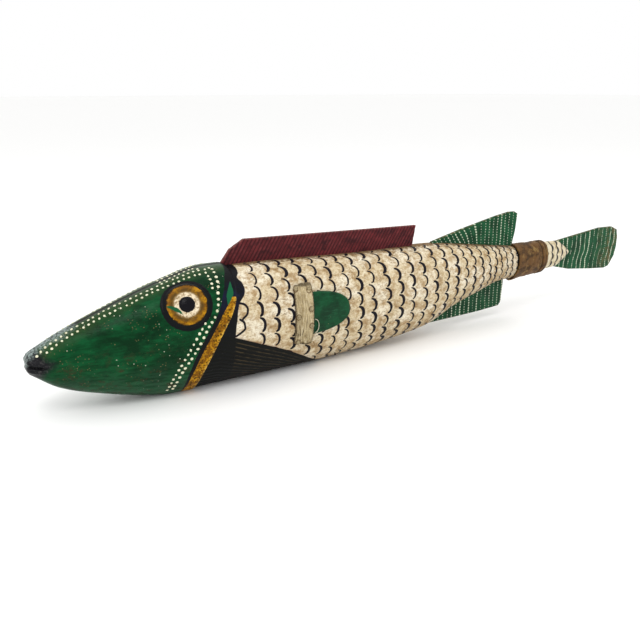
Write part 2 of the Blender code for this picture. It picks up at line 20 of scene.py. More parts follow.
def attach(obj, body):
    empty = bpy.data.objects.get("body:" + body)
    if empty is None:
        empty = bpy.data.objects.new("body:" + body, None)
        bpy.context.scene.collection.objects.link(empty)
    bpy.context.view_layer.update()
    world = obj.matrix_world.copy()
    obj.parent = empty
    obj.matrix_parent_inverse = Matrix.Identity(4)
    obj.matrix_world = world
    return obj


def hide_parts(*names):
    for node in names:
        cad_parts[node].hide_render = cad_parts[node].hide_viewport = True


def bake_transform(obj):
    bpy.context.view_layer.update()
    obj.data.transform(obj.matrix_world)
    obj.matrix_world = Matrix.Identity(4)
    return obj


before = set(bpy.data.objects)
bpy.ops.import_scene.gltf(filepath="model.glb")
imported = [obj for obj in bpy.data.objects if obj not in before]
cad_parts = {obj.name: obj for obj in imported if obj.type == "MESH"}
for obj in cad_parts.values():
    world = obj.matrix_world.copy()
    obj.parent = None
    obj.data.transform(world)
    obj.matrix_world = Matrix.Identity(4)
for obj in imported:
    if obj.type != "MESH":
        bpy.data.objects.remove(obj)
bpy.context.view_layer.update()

LOG = logging.getLogger("wooden_fish")
MM = 0.001
OUTSIDE = -50.0  # a field's value, in mm, where there is none of its paint
SEED = 20
FIN_MIDDLE_Z = 0.0726
STRAP_THICK = 0.0016

Array = np.ndarray
Pairs = tuple[tuple[float, float], ...]
Socket = bpy.types.NodeSocket


# ---------------------------------------------------------------------------------- numbers


def ramp(low: float, high: float, at: Array) -> Array:
    """Rises evenly from 0 at low to 1 at high.

    Args:
        low: Where the rise starts.
        high: Where it ends.
        at: The places to read.

    Returns:
        One share for each place.
    """
    t = np.clip((at - low) / (high - low), 0.0, 1.0)
    return t * t * (3 - 2 * t)


def bell(at: Array, width: float) -> Array:
    """A smooth bump of height 1 at 0, about twice this width across."""
    return np.exp(-((at / width) ** 2))


def hilly(points: Array, size_mm: float, seed: float = 0.0) -> Array:
    """Smooth noise between about -1 and 1.

    Args:
        points: One place a row, in metres.
        size_mm: How far apart the hills are.
        seed: Moves the pattern elsewhere.

    Returns:
        One height for each place.
    """
    scale = 1 / (size_mm * MM)
    return np.array([noise.noise(Vector(p) * scale + Vector((seed, seed, seed))) for p in points])


@dataclass(frozen=True)
class Line:
    """A smooth line through (position, value) points that never overshoots them."""

    points: Pairs

    def __call__(self, at: Array) -> Array:
        """The line's value at each position.

        Args:
            at: Positions. Beyond the ends the line keeps its end value.

        Returns:
            One value for each position.
        """
        xs, ys = (np.array(side, float) for side in zip(*self.points))
        steps = np.diff(xs)
        slopes = np.diff(ys) / steps
        product = slopes[:-1] * slopes[1:]
        total = np.where(product > 0, slopes[:-1] + slopes[1:], 1.0)
        inner = np.where(product > 0, 2 * product / total, 0.0)
        tangents = np.concatenate([slopes[:1], inner, slopes[-1:]])
        at = np.clip(np.asarray(at, float), xs[0], xs[-1])
        i = np.clip(np.searchsorted(xs, at, "right") - 1, 0, len(steps) - 1)
        t = (at - xs[i]) / steps[i]
        return (
            ys[i] * (1 + 2 * t) * (1 - t) ** 2
            + ys[i + 1] * t * t * (3 - 2 * t)
            + steps[i] * (tangents[i] * t * (1 - t) ** 2 - tangents[i + 1] * t * t * (1 - t))
        )


# ------------------------------------------------------------------------------- the shapes


class Side(Enum):
    """The fish's two flanks, by the sign of their Y."""

    LEFT = -1
    RIGHT = 1

    @property
    def word(self) -> str:
        """The side's name in piece names."""
        return self.name.lower()


@dataclass(frozen=True)
class LogShape:
    """The carved log's lines, in metres, before any relief is cut."""

    back: Line = Line((
        (-0.450, 0.0672), (-0.443, 0.0712), (-0.413, 0.0851), (-0.372, 0.1010),
        (-0.307, 0.1227), (-0.262, 0.1318), (-0.200, 0.1306), (-0.051, 0.1246),
        (0.060, 0.1221), (0.150, 0.1106), (0.212, 0.1021),
    ))
    belly: Line = Line((
        (-0.450, 0.0490), (-0.443, 0.0432), (-0.420, 0.0266), (-0.380, 0.0119),
        (-0.345, 0.0027), (-0.310, -0.0022), (-0.250, -0.0027), (-0.140, -0.0027),
        (-0.090, -0.0015), (-0.016, 0.0031), (0.044, 0.0102), (0.096, 0.0308),
        (0.138, 0.0425), (0.184, 0.0534), (0.212, 0.0541),
    ))
    half_width: Line = Line((
        (-0.450, 0.0098), (-0.443, 0.0130), (-0.413, 0.0220), (-0.372, 0.0330),
        (-0.329, 0.0415), (-0.285, 0.0465), (-0.240, 0.0490), (-0.163, 0.0475),
        (-0.051, 0.0445), (0.066, 0.0370), (0.150, 0.0270), (0.212, 0.0178),
    ))
    core_middle: Line = Line(((0.212, 0.0781), (0.250, 0.0782), (0.284, 0.0788), (0.335, 0.0788)))
    core_half_height: Line = Line((
        (0.212, 0.0232), (0.250, 0.0220), (0.284, 0.0204), (0.306, 0.0196), (0.320, 0.0130),
        (0.335, 0.0020),
    ))
    core_half_width: Line = Line((
        (0.212, 0.0165), (0.250, 0.0150), (0.284, 0.0125), (0.306, 0.0095), (0.320, 0.0066),
        (0.335, 0.0042),
    ))
    back_roundness: float = 2.25
    belly_roundness: float = 2.0
    snout_x: float = -0.450
    snout_round: float = 0.0030
    neck_x: float = 0.2125
    end_x: float = 0.2440
    end_slope: float = math.tan(math.radians(18))
    play_in_sleeve: float = 0.0012

    def unit(self, angle: Array) -> tuple[Array, Array]:
        """Points of the cross-section.

        Args:
            angle: Their angles, from the left flank up.

        Returns:
            How far across and how far up they lie, as shares of the half width and half height.
        """
        c, s = np.cos(angle), np.sin(angle)
        power = 2 / np.where(s > 0, self.back_roundness, self.belly_roundness)
        return np.sign(c) * np.abs(c) ** power, np.sign(s) * np.abs(s) ** power

    def section(self, x: Array) -> tuple[Array, Array, Array]:
        """The log's cross-section at x.

        Args:
            x: Distances along the fish.

        Returns:
            Its middle height, half height and half width.
        """
        x = np.asarray(x, float)
        inside = x > self.neck_x
        back, belly = self.back(x), self.belly(x)
        tip = np.sqrt(np.clip(1 - (1 - (x - self.snout_x) / self.snout_round) ** 2, 0, 1))
        tip = np.where(x < self.snout_x + self.snout_round, tip, 1.0)
        shy = self.play_in_sleeve
        middle = np.where(inside, self.core_middle(x), (back + belly) / 2)
        height = np.where(inside, self.core_half_height(x) - shy, (back - belly) / 2 * tip)
        width = np.where(inside, self.core_half_width(x) - shy, self.half_width(x) * tip)
        return middle, height, width

    def flank(self, x: Array, z: Array) -> Array:
        """The half width of the log at a height.

        Args:
            x: Distances along the fish.
            z: Heights.

        Returns:
            One half width for each place.
        """
        middle, height, width = self.section(x)
        roundness = np.where(z > middle, self.back_roundness, self.belly_roundness)
        share = np.minimum(np.abs((z - middle) / height), 1.0)
        return width * (1 - share**roundness) ** (1 / roundness)

    def normal(self, x: float, z: float, side: Side) -> Vector:
        """The direction straight out of the flank.

        Args:
            x: A distance along the fish.
            z: A height.
            side: Which flank.

        Returns:
            The direction, one long.
        """
        d = 0.0005
        along = (self.flank(x + d, z) - self.flank(x - d, z)) / (2 * d)
        up = (self.flank(x, z + d) - self.flank(x, z - d)) / (2 * d)
        return Vector((-float(along), side.value, -float(up))).normalized()

    def off(self, x: float, z: float, side: Side, out: float) -> Vector:
        """The point this far straight out from the flank."""
        on = Vector((x, side.value * float(self.flank(x, z)), z))
        return on + self.normal(x, z, side) * out


@dataclass(frozen=True)
class Gill:
    """The gill cover, by the height-to-x line of its rear edge, in metres."""

    edge: Line = Line((
        (-0.0064, -0.2875), (0.0106, -0.2845), (0.0244, -0.2807), (0.0411, -0.2741),
        (0.0600, -0.2647), (0.0739, -0.2564), (0.0885, -0.2470), (0.1006, -0.2410),
        (0.1120, -0.2380), (0.1326, -0.2355),
    ))
    middle_x: float = -0.262
    reach: float = 0.120
    proud: float = 0.0020


@dataclass(frozen=True)
class Eye:
    """An eye, carved as a ring and a ball: its middle in metres, and its profile in mm."""

    x: float = -0.2935
    z: float = 0.1036
    profile: Line = Line((
        (0, 3.2), (4, 2.9), (7.6, 2.0), (8.8, 1.0), (12.5, 1.1), (14.5, 0.5), (17, 1.7),
        (20, 1.8), (22.5, 0.9), (24.5, -0.5), (27, -0.1), (30, 0),
    ))


class Unrolled:
    """The log's surface over (u, v), as tables that any place can be read from.

    u runs from the snout to the end in the tail sleeve. v runs once round, from the ridge down
    the left flank, under the belly and up the right flank, by even steps of length.
    """

    EYES_X = -0.29
    TRIES, STEP = 40, 1 / 3  # find walks to its place in short steps, so that it doesn't overshoot

    def __init__(self, shape: LogShape, gill: Gill, rings: int = 900, around: int = 960) -> None:
        """Works the tables out.

        Args:
            shape: The log's lines.
            gill: The gill cover that the rings lean with.
            rings: How many rings the tables have.
            around: How many places each ring has.
        """
        self.shape, self.gill = shape, gill
        self.rings, self.around = rings, around
        fine = np.linspace(shape.snout_x, shape.end_x, 6000)
        from_snout = fine - shape.snout_x
        dense = 1 + 14 * bell(from_snout, 0.003) + 3 * bell(from_snout, 0.012)
        dense += 0.7 * bell(fine - self.EYES_X, 0.05)
        dense += 4 * bell(fine - gill.middle_x, 0.003)
        spent = np.concatenate([[0], np.cumsum(dense[1:] + dense[:-1])])
        self.station_x = np.interp(np.linspace(0, spent[-1], rings), spent, fine)
        turn = np.linspace(0, 2 * np.pi, 2 * around + 1)
        x, y, z = self._places(self.station_x[:, None], np.pi / 2 + turn[None, :])
        steps = np.hypot(np.diff(y, axis=1), np.diff(z, axis=1))
        length = np.concatenate([np.zeros((rings, 1)), np.cumsum(steps, axis=1)], axis=1)
        places = np.zeros((rings, around + 1, 3))
        for ring in range(rings):
            even = np.linspace(0, length[ring, -1], around + 1)
            for axis, values in enumerate((x[ring], y[ring], z[ring])):
                places[ring, :, axis] = np.interp(even, length[ring], values)
        self.places = places
        self.girth = length[:, -1] / MM
        self.normals = self._normals()

    def _places(self, x: Array, angle: Array) -> tuple[Array, Array, Array]:
        """The surface points of the rings, which lean with the gill cover beside it.

        Args:
            x: Where the rings stand.
            angle: The points' angles.

        Returns:
            The points' x, y and z.
        """
        across, up = self.shape.unit(angle)
        middle, height, _ = self.shape.section(x)
        lean = self.gill.edge(middle + height * up) - self.gill.middle_x
        leaned = x + lean * (1 - ramp(0.0, self.gill.reach, np.abs(x - self.gill.middle_x)))
        middle, height, width = self.shape.section(leaned)
        y, z = width * across, np.maximum(middle + height * up, 0.0)
        neck, last = self.shape.neck_x, self.shape.end_x
        end = last - self.shape.end_slope * np.abs(y)
        into = np.clip((leaned - neck) / (last - neck), 0, 1)
        return np.where(leaned > neck, neck + into * (end - neck), leaned), y, z

    def _normals(self) -> Array:
        """The outward directions, from the slopes of the tables.

        Returns:
            One direction for each point of the tables.
        """
        along = np.gradient(self.places, axis=0)
        round_ring = np.roll(self.places[:, :-1], -1, axis=1) - np.roll(self.places[:, :-1], 1, axis=1)
        around = np.concatenate([round_ring, round_ring[:, :1]], axis=1)
        out = np.cross(around, along)
        size = np.linalg.norm(out, axis=2, keepdims=True)
        return out / np.maximum(size, 1e-12)

    def read(self, table: Array, u: Array, v: Array) -> Array:
        """Reads a table at places between its rows.

        Args:
            table: One value or point for each ring and each place round it.
            u: Shares of the way from the snout to the end.
            v: Shares of the way round.

        Returns:
            One value or point for each place.
        """
        row = np.clip(u, 0, 1) * (self.rings - 1)
        column = np.clip(v, 0, 1) * self.around
        i = np.minimum(row.astype(int), self.rings - 2)
        j = np.minimum(column.astype(int), self.around - 1)
        a, b = (row - i)[:, None], (column - j)[:, None]
        flat = table if table.ndim == 3 else table[:, :, None]
        found = (flat[i, j] * (1 - b) + flat[i, j + 1] * b) * (1 - a)
        found = found + (flat[i + 1, j] * (1 - b) + flat[i + 1, j + 1] * b) * a
        return found if table.ndim == 3 else found[:, 0]

    def station(self, x: float) -> float:
        """The u of the ring that stands at x."""
        return float(np.interp(x, self.station_x, np.linspace(0, 1, self.rings)))

    def find(self, x: float, z: float) -> tuple[float, float]:
        """The place on the left flank at x and z.

        Args:
            x: A distance along the fish.
            z: A height.

        Returns:
            Its u and v.
        """
        u = self.station(x)
        for _ in range(self.TRIES):
            ring = min(max(int(round(u * (self.rings - 1))), 0), self.rings - 1)
            heights = self.places[ring, : self.around // 2 + 1, 2]
            v = float(np.interp(-z, -heights, np.linspace(0, 0.5, len(heights))))
            at = self.read(self.places, np.array([u]), np.array([v]))[0]
            short = self.station(x) - self.station(float(at[0]))
            u = min(max(u + short * self.STEP, 0.0), 1.0)
        return u, v

    def side_of(self, v: Array) -> Array:
        """-1 on the left flank and 1 on the right."""
        return np.where(v < 0.5, Side.LEFT.value, Side.RIGHT.value)

    def down_at(self, x: float, z: float) -> float:
        """How far round from the ridge, in mm, the left flank's point at x and z lies."""
        u, v = self.find(x, z)
        return v * float(np.interp(u, np.linspace(0, 1, self.rings), self.girth))


# ------------------------------------------------------------------------- building in edit mode


class Bench:
    """Blender's own tools, as this object's pieces use them."""

    @staticmethod
    def clear() -> None:
        """Leaves nothing selected or active."""
        for other in list(bpy.context.selected_objects):
            other.select_set(False)
        bpy.context.view_layer.objects.active = None

    @staticmethod
    def sheet(name: str, along: int, across: int, place: Callable[[Array, Array], Array],
              weld: bool = True) -> bpy.types.Object:
        """An open sheet, from a grid whose points are carried to their places.

        Args:
            name: The piece's name.
            along: How many faces long the grid is.
            across: How many faces wide it is.
            place: Gives the points for shares along and across.
            weld: Joins the points that meet.

        Returns:
            The new object, at the origin.
        """
        Bench.clear()
        bpy.ops.mesh.primitive_grid_add(x_subdivisions=along, y_subdivisions=across, size=1)
        made = bpy.context.active_object
        made.name = made.data.name = name
        flat = Bench.points(made)
        Bench.move(made, place(flat[:, 0] + 0.5, flat[:, 1] + 0.5))
        if weld:
            Bench.edit(lambda: bpy.ops.mesh.remove_doubles(threshold=0.00002))
        return made

    @staticmethod
    def edit(*steps: Callable[[], object]) -> None:
        """Runs steps on the active object with its whole mesh selected, in edit mode.

        Args:
            steps: What to run, in order.
        """
        bpy.ops.object.mode_set(mode="EDIT")
        for step in steps:
            bpy.ops.mesh.select_all(action="SELECT")
            step()
        bpy.ops.object.mode_set(mode="OBJECT")

    @staticmethod
    def close_hole() -> None:
        """Closes the mesh's one open rim with a fan of faces, in edit mode."""
        bpy.ops.mesh.select_all(action="DESELECT")
        bpy.ops.mesh.select_non_manifold()
        bpy.ops.mesh.extrude_edges_move()
        bpy.ops.mesh.merge(type="CENTER")

    @staticmethod
    def points(made: bpy.types.Object) -> Array:
        """The mesh's points.

        Args:
            made: The object.

        Returns:
            One point a row.
        """
        flat = np.empty(len(made.data.vertices) * 3)
        made.data.vertices.foreach_get("co", flat)
        return flat.reshape(-1, 3)

    @staticmethod
    def move(made: bpy.types.Object, points: Array) -> None:
        """Puts the mesh's points at these places."""
        made.data.vertices.foreach_set("co", points.ravel())
        made.data.update()

    @staticmethod
    def field(made: bpy.types.Object, name: str, values: Array) -> None:
        """Stores one number for each point, which the paint reads by name."""
        layer = made.data.attributes.new(name, "FLOAT", "POINT")
        layer.data.foreach_set("value", np.asarray(values, np.float32))

    @staticmethod
    def weigh(made: bpy.types.Object, full: Array) -> None:
        """Stores the share of the full thickness that each point gets, as the group "full".

        Args:
            made: The sheet.
            full: One share for each point.
        """
        group = made.vertex_groups.new(name="full")
        for index, share in enumerate(np.clip(full, 0.05, 1.0)):
            group.add([index], float(share), "REPLACE")

    @staticmethod
    def select_only(made: bpy.types.Object) -> None:
        """Makes this the one selected and active object.

        Args:
            made: The object.
        """
        Bench.clear()
        made.select_set(True)
        bpy.context.view_layer.objects.active = made

    @staticmethod
    def thicken(made: bpy.types.Object, thick: float, offset: float, least: float = 1.0) -> None:
        """Gives a sheet its thickness, thinner where its group "full" says less.

        Args:
            made: The sheet.
            thick: The thickness.
            offset: 1 to grow outwards, -1 inwards and 0 both ways.
            least: The share of the thickness where the group says 0.
        """
        wall = made.modifiers.new("thickness", "SOLIDIFY")
        wall.thickness, wall.offset = thick, offset
        if "full" in made.vertex_groups:
            wall.vertex_group, wall.thickness_vertex_group = "full", least
        Bench.select_only(made)
        bpy.ops.object.modifier_apply(modifier=wall.name)

    @staticmethod
    def smooth(made: bpy.types.Object, degrees: float = 40) -> None:
        """Turns the faces outwards and shades them smooth.

        Args:
            made: The object.
            degrees: The sharpest angle that is shaded smooth.
        """
        Bench.select_only(made)
        Bench.edit(lambda: bpy.ops.mesh.normals_make_consistent(inside=False))
        bpy.ops.object.shade_smooth_by_angle(angle=math.radians(degrees))


# ------------------------------------------------------------------------------- the finishes

Value = Union[Socket, float, int, tuple]


def linear(code: str) -> tuple[float, float, float, float]:
    """The linear colour of an sRGB hex code such as "#e7ddc8"."""
    shares = [int(code[i:i + 2], 16) / 255 for i in (1, 3, 5)]
    return (*(s / 12.92 if s <= 0.04045 else ((s + 0.055) / 1.055) ** 2.4 for s in shares), 1.0)


class Palette:
    """A material in the making: its nodes, and the colour and gloss laid down so far."""

    def __init__(self, name: str, base: str, roughness: float) -> None:
        """Starts a material.

        Args:
            name: The material's name.
            base: The hex colour of what lies under everything.
            roughness: That layer's roughness.
        """
        self.material = bpy.data.materials.new(name)
        self.material.use_nodes = True
        self.tree = self.material.node_tree
        self.shader = self.tree.nodes["Principled BSDF"]
        self.colour: Value = linear(base)
        self.roughness: Value = roughness
        self.height: Value = 0.0

    def add(self, kind: str, *values: Value, out: Union[int, str] = 0,
            at: Optional[dict] = None, **settings: object) -> Socket:
        """Adds a node, sets it and links it.

        Args:
            kind: The node's type without "ShaderNode", and its operation after a colon.
            values: What goes in its first sockets, in order: a socket to link, or a value.
            out: The output that is given back.
            at: More inputs, by number or name.
            settings: The node's own properties. stops gives a ramp its (place, hex) pairs.

        Returns:
            The output socket.
        """
        name, _, operation = kind.partition(":")
        node = self.tree.nodes.new("ShaderNode" + name)
        if operation:
            node.operation = operation
        for place, (stop, code) in enumerate(settings.pop("stops", ())):
            ends = node.color_ramp.elements
            mark = ends[place] if place < 2 else ends.new(stop)
            mark.position, mark.color = stop, linear(code)
        for key, value in settings.items():
            setattr(node, key, value)
        for key, value in [*enumerate(values), *(at or {}).items()]:
            if isinstance(value, Socket):
                self.tree.links.new(value, node.inputs[key])
            else:
                node.inputs[key].default_value = value
        return node.outputs[out]

    def place(self, *size: float) -> Socket:
        """The place on the piece, for a pattern to read.

        Args:
            size: The size of the pattern's cell in mm, as one number or three.

        Returns:
            The place, in cells.
        """
        where = self.add("TexCoord", out="Object")
        scale = tuple(1 / (s * MM) for s in (size * 3)[:3])
        return self.add("VectorMath:MULTIPLY", where, scale)

    def cloud(self, size: tuple[float, ...], detail: float = 3.0, rough: float = 0.55) -> Socket:
        """Fractal noise, around 0.5, whose largest blots are this many mm."""
        return self.add("TexNoise", self.place(*size), at={"Scale": 1.0, "Detail": detail,
                                                           "Roughness": rough})

    def where(self, *shares: Value) -> Value:
        """Where all of these hold: their product.

        Args:
            shares: Each is 1 where it holds and 0 where it doesn't. A tuple is a value, then what
                counts as 0 and what as 1, or as the two shares after them.

        Returns:
            The share.
        """
        read = [self.add("MapRange", *one) if isinstance(one, tuple) else one for one in shares]
        return reduce(lambda one, other: self.add("Math:MULTIPLY", one, other), read)

    def lay(self, where: Union[Value, list[Value]], colour: Value,
            roughness: Optional[float] = None) -> None:
        """Lays a colour over what is there.

        Args:
            where: 1 where it covers and 0 where it doesn't, or a tuple or list as for where().
            colour: A hex colour, or a socket.
            roughness: The new layer's roughness, if it differs.
        """
        where = self.where(*(where if isinstance(where, list) else [where]))
        over = linear(colour) if isinstance(colour, str) else colour
        self.colour = self.add("Mix", at={0: where, 6: self.colour, 7: over}, out=2,
                               data_type="RGBA")
        if roughness is not None:
            self.roughness = self.add("Mix", at={0: where, 2: self.roughness, 3: roughness})

    def axis(self, name: str) -> Socket:
        """The place on the piece along its X, Y or Z, in mm."""
        return self.add("SeparateXYZ", self.place(1.0), out=name)

    def raise_by(self, where: Value, mm: float) -> None:
        """Adds relief too fine to be cut: this many mm where the mask is 1."""
        self.height = self.add("Math:MULTIPLY_ADD", where, mm, self.height)

    def done(self, specular: float, metallic: float = 0.0) -> bpy.types.Material:
        """Wires what was laid to the shader.

        Args:
            specular: The shader's specular level.
            metallic: 1 for bare metal.

        Returns:
            The material.
        """
        inputs = self.shader.inputs
        for key, value in (("Base Color", self.colour), ("Roughness", self.roughness)):
            if isinstance(value, Socket):
                self.tree.links.new(value, inputs[key])
            else:
                inputs[key].default_value = value
        inputs["Specular IOR Level"].default_value = specular
        inputs["Metallic"].default_value = metallic
        if isinstance(self.height, Socket):
            bump = self.add("Bump", 1.0, MM, at={"Height": self.height})
            self.tree.links.new(bump, inputs["Normal"])
        return self.material


# ------------------------------------------------------------------------------- the painted log


@dataclass(frozen=True)
class PaintLines:
    """Where one paint meets the next on the log, in mm."""

    front: Line = Line((
        (9, -15), (30, -17.5), (49, -19), (84, -18), (104, -16.5), (114, -13.5), (122, -10.5),
        (131, -4),
    ))
    ochre_front: Line = Line((
        (12, -12.7), (33, -13.3), (52, -13.6), (70, -12.4), (87, -12.0), (96, -9.6), (105, -5),
    ))
    ochre_top: float = 105.0
    sliver_front: Line = Line(((98, -251.4), (106, -250.8), (112, -247.6), (119.5, -242.4)))
    sliver_back: Line = Line(((98, -249.4), (103, -245.6), (110, -241.9), (119.5, -241.9)))
    band_back: Line = Line((
        (60, -245.5), (72, -244), (82, -241.8), (90, -240), (98, -237), (101, -233.8),
        (106, -229.2), (112, -227.4), (117, -228), (122, -231.5), (126, -227.5), (130, -226),
        (136, -225.5),
    ))
    loops: tuple[Pairs, ...] = (
        ((98.5, -238.5), (95.8, -231.5), (90.9, -228.6), (85.8, -229.8), (81.3, -235.2)),
        ((81.0, -239.0), (77.0, -234.5), (70.6, -233.6), (66.5, -238.5), (63.4, -244.7)),
    )
    belly_top: Line = Line((
        (-262, 68), (-247.6, 62.5), (-217.5, 49.5), (-182.2, 33.7), (-154.7, 18.8),
        (-137.7, 8.7), (-126, 2.5),
    ))
    belly_slant: float = 0.84
    belly_bend: float = -128.0
    belly_tip: float = -103.0
    ridge_pitch: float = 4.4
    column: Line = Line((
        (-228.5, 0.5), (-195, 2.5), (-134, 5.5), (-80, 8.5), (3, 12.5), (81, 16.5),
        (147, 20.5), (209, 25.5),
    ))
    row_height: Line = Line(((-230, 17.5), (0, 16.5), (100, 14.5), (160, 12), (210, 9.5)))


class PaintedLog:
    """The log: one fine surface with its relief, and the fields that its paint reads."""

    NAME = "painted_log"
    ALONG, AROUND = 322, 300
    MOUTH_Z, MOUTH_SLOPE = 57.6, 0.22
    SLIDE = 0.035  # crowds the grid's columns on to the flanks, where the paint is finest

    def __init__(self, unrolled: Unrolled, gill: Gill, eye: Eye, lines: PaintLines) -> None:
        """Keeps what the log is made from.

        Args:
            unrolled: The log's bare surface.
            gill: The gill cover.
            eye: The eyes.
            lines: The edges between the paints.
        """
        self.unrolled, self.gill, self.eye, self.lines = unrolled, gill, eye, lines
        x = self._x(np.linspace(0, 1, 2000))
        fineness = 1 + 1.6 * (ramp(-0.345, -0.325, x) - ramp(-0.11, -0.08, x))
        fineness *= np.gradient(x) + 2e-5
        fineness *= 1 - 0.35 * ramp(-0.10, 0.0, x) + 3 * bell(x + 0.445, 0.008)
        self._along = np.cumsum(fineness) / np.sum(fineness)
        self._along[0] = 0

    def _x(self, u: Array) -> Array:
        """The x of the stations at u."""
        return np.interp(u, np.linspace(0, 1, self.unrolled.rings), self.unrolled.station_x)

    def build(self) -> bpy.types.Object:
        """Models the log.

        Returns:
            The finished piece, unpainted.
        """
        kept: dict[str, Array] = {}

        def place(along: Array, around: Array) -> Array:
            """The carved surface for even shares of the grid.

            Args:
                along: Shares of the way along.
                around: Shares of the way round.

            Returns:
                One point for each place.
            """
            u = np.interp(along, self._along, np.linspace(0, 1, len(self._along)))
            carved, _, fields = self.carve(u, around + self.SLIDE * np.sin(4 * np.pi * around))
            kept.update(fields)
            return carved

        log = Bench.sheet(self.NAME, self.ALONG, self.AROUND, place, weld=False)
        for name, values in kept.items():
            Bench.field(log, name, values)
        Bench.edit(lambda: bpy.ops.mesh.remove_doubles(threshold=0.00001), Bench.close_hole)
        Bench.smooth(log, 180)
        return log

    def carve(self, u: Array, v: Array) -> tuple[Array, Array, dict[str, Array]]:
        """The carved surface at (u, v).

        Args:
            u: Shares of the way along.
            v: Shares of the way round.

        Returns:
            Its points, the directions out of the bare surface there, and the fields.
        """
        bare = self.unrolled.read(self.unrolled.places, u, v)
        out = self.unrolled.read(self.unrolled.normals, u, v)
        out /= np.maximum(np.linalg.norm(out, axis=1, keepdims=True), 1e-9)
        fields = self.fields(bare, u, v)
        carved = bare + out * (self.relief(bare, fields) * MM)[:, None]
        carved[:, 2] = np.maximum(carved[:, 2], 0.0)
        carved[:, 0] = np.maximum(carved[:, 0], self.unrolled.shape.snout_x)
        return carved, out, fields

    def eye_radius(self, bare: Array) -> tuple[Array, Array, Array]:
        """Each point's place on the nearer eye.

        Args:
            bare: The bare surface's points.

        Returns:
            Its distance from the middle, then how far ahead and how far up it is, all in mm.
        """
        radius, ahead, above = (np.full(len(bare), 200.0) for _ in range(3))
        for side in Side:
            middle = np.array(self.unrolled.shape.off(self.eye.x, self.eye.z, side, 0))
            out = np.array(self.unrolled.shape.normal(self.eye.x, self.eye.z, side))
            gap = bare - middle
            depth = gap @ out
            on = (bare[:, 1] * side.value > 0) & (np.abs(depth) < 0.03)
            flat = gap - depth[:, None] * out
            forward = np.cross(out, (0, 0, 1)) * side.value
            forward /= np.linalg.norm(forward)
            upward = np.cross(out, forward)
            upward *= np.sign(upward[2])
            gone = np.hypot(np.linalg.norm(flat, axis=1), depth * 0.6) / MM
            radius = np.where(on, gone, radius)
            ahead = np.where(on, -(flat @ forward) * np.sign(forward[0]) / MM, ahead)
            above = np.where(on, flat @ upward / MM, above)
        return radius, ahead, above

    def fields(self, bare: Array, u: Array, v: Array) -> dict[str, Array]:
        """The numbers that the relief and the paint are worked out from, in mm.

        Args:
            bare: The bare surface's points.
            u: Their shares along the log.
            v: Their shares round it.

        Returns:
            Each field by its name.
        """
        lines = self.lines
        x, z = bare[:, 0] / MM, bare[:, 2] / MM
        girth = np.interp(u, np.linspace(0, 1, self.unrolled.rings), self.unrolled.girth)
        half = np.minimum(v, 1 - v)
        down = half * girth
        behind = x - self.gill.edge(bare[:, 2]) / MM
        radius, ahead, above = self.eye_radius(bare)
        ochre = np.minimum(np.minimum(behind - lines.ochre_front(z), -0.2 - behind),
                           (lines.ochre_top - z) * 0.8)
        sliver = np.minimum(x - lines.sliver_front(z), lines.sliver_back(z) - x)
        sliver = np.minimum(sliver, np.minimum(z - 98, 119.5 - z))
        band = np.minimum(lines.band_back(z) - x, 30.0) * 0.8
        stations = np.linspace(self.gill.middle_x, -0.100, 28)
        tops = [self.unrolled.down_at(s, float(lines.belly_top(s / MM)) * MM) for s in stations]
        belly_edge = np.interp(x, stations / MM, tops)
        under = (down - belly_edge) * lines.belly_slant
        under -= np.maximum(x - lines.belly_bend, 0.0) * 0.25
        under = np.minimum(under, (lines.belly_tip - x) * 0.7)
        side = self.unrolled.side_of(v)
        return {
            "behind": behind,
            "head": lines.front(z) - behind,
            "ochre": ochre,
            "sliver": sliver,
            "band": band,
            "under": np.where(behind > -6, under, -8.0),
            "loops": self._loops(x, z),
            "eye": radius,
            "smear": self._smear(ahead, above),
            "down": down,
            "keel": girth / 2 - down,
            "column": lines.column(x),
            "row": -side * down / lines.row_height(x),
        }

    def _loops(self, x: Array, z: Array) -> Array:
        """How deep in the two thin arcs by the band each point lies.

        Args:
            x: The points' x in mm.
            z: Their heights in mm.

        Returns:
            One depth in mm for each point, below 0 outside the arcs.
        """
        best = np.full(len(x), 99.0)
        for points in self.lines.loops:
            heights = np.array([p[0] for p in points])
            places = np.array([p[1] for p in points])
            turn = np.linspace(0, 1, len(points))
            fine = np.linspace(0, 1, 25)
            zs = Line(tuple(zip(turn, heights)))(fine)
            xs = Line(tuple(zip(turn, places)))(fine)
            near = np.abs(x - places.mean()) < 14
            gap = np.hypot(x[near, None] - xs, z[near, None] - zs).min(axis=1)
            best[near] = np.minimum(best[near], gap)
        return 1.35 - best

    @staticmethod
    def _smear(ahead: Array, above: Array) -> Array:
        """How deep in the green smear on each eye's ring a point lies.

        Args:
            ahead: How far ahead of the eye's middle it is, in mm.
            above: How far above.

        Returns:
            One depth in mm for each point.
        """
        along = (ahead - 12.6) * 0.86 + (above + 3.4) * 0.51
        off = (above + 3.4) * 0.86 - (ahead - 12.6) * 0.51
        return np.maximum(2.1 - np.abs(off + 0.02 * along**2) - 0.022 * along**2, OUTSIDE)

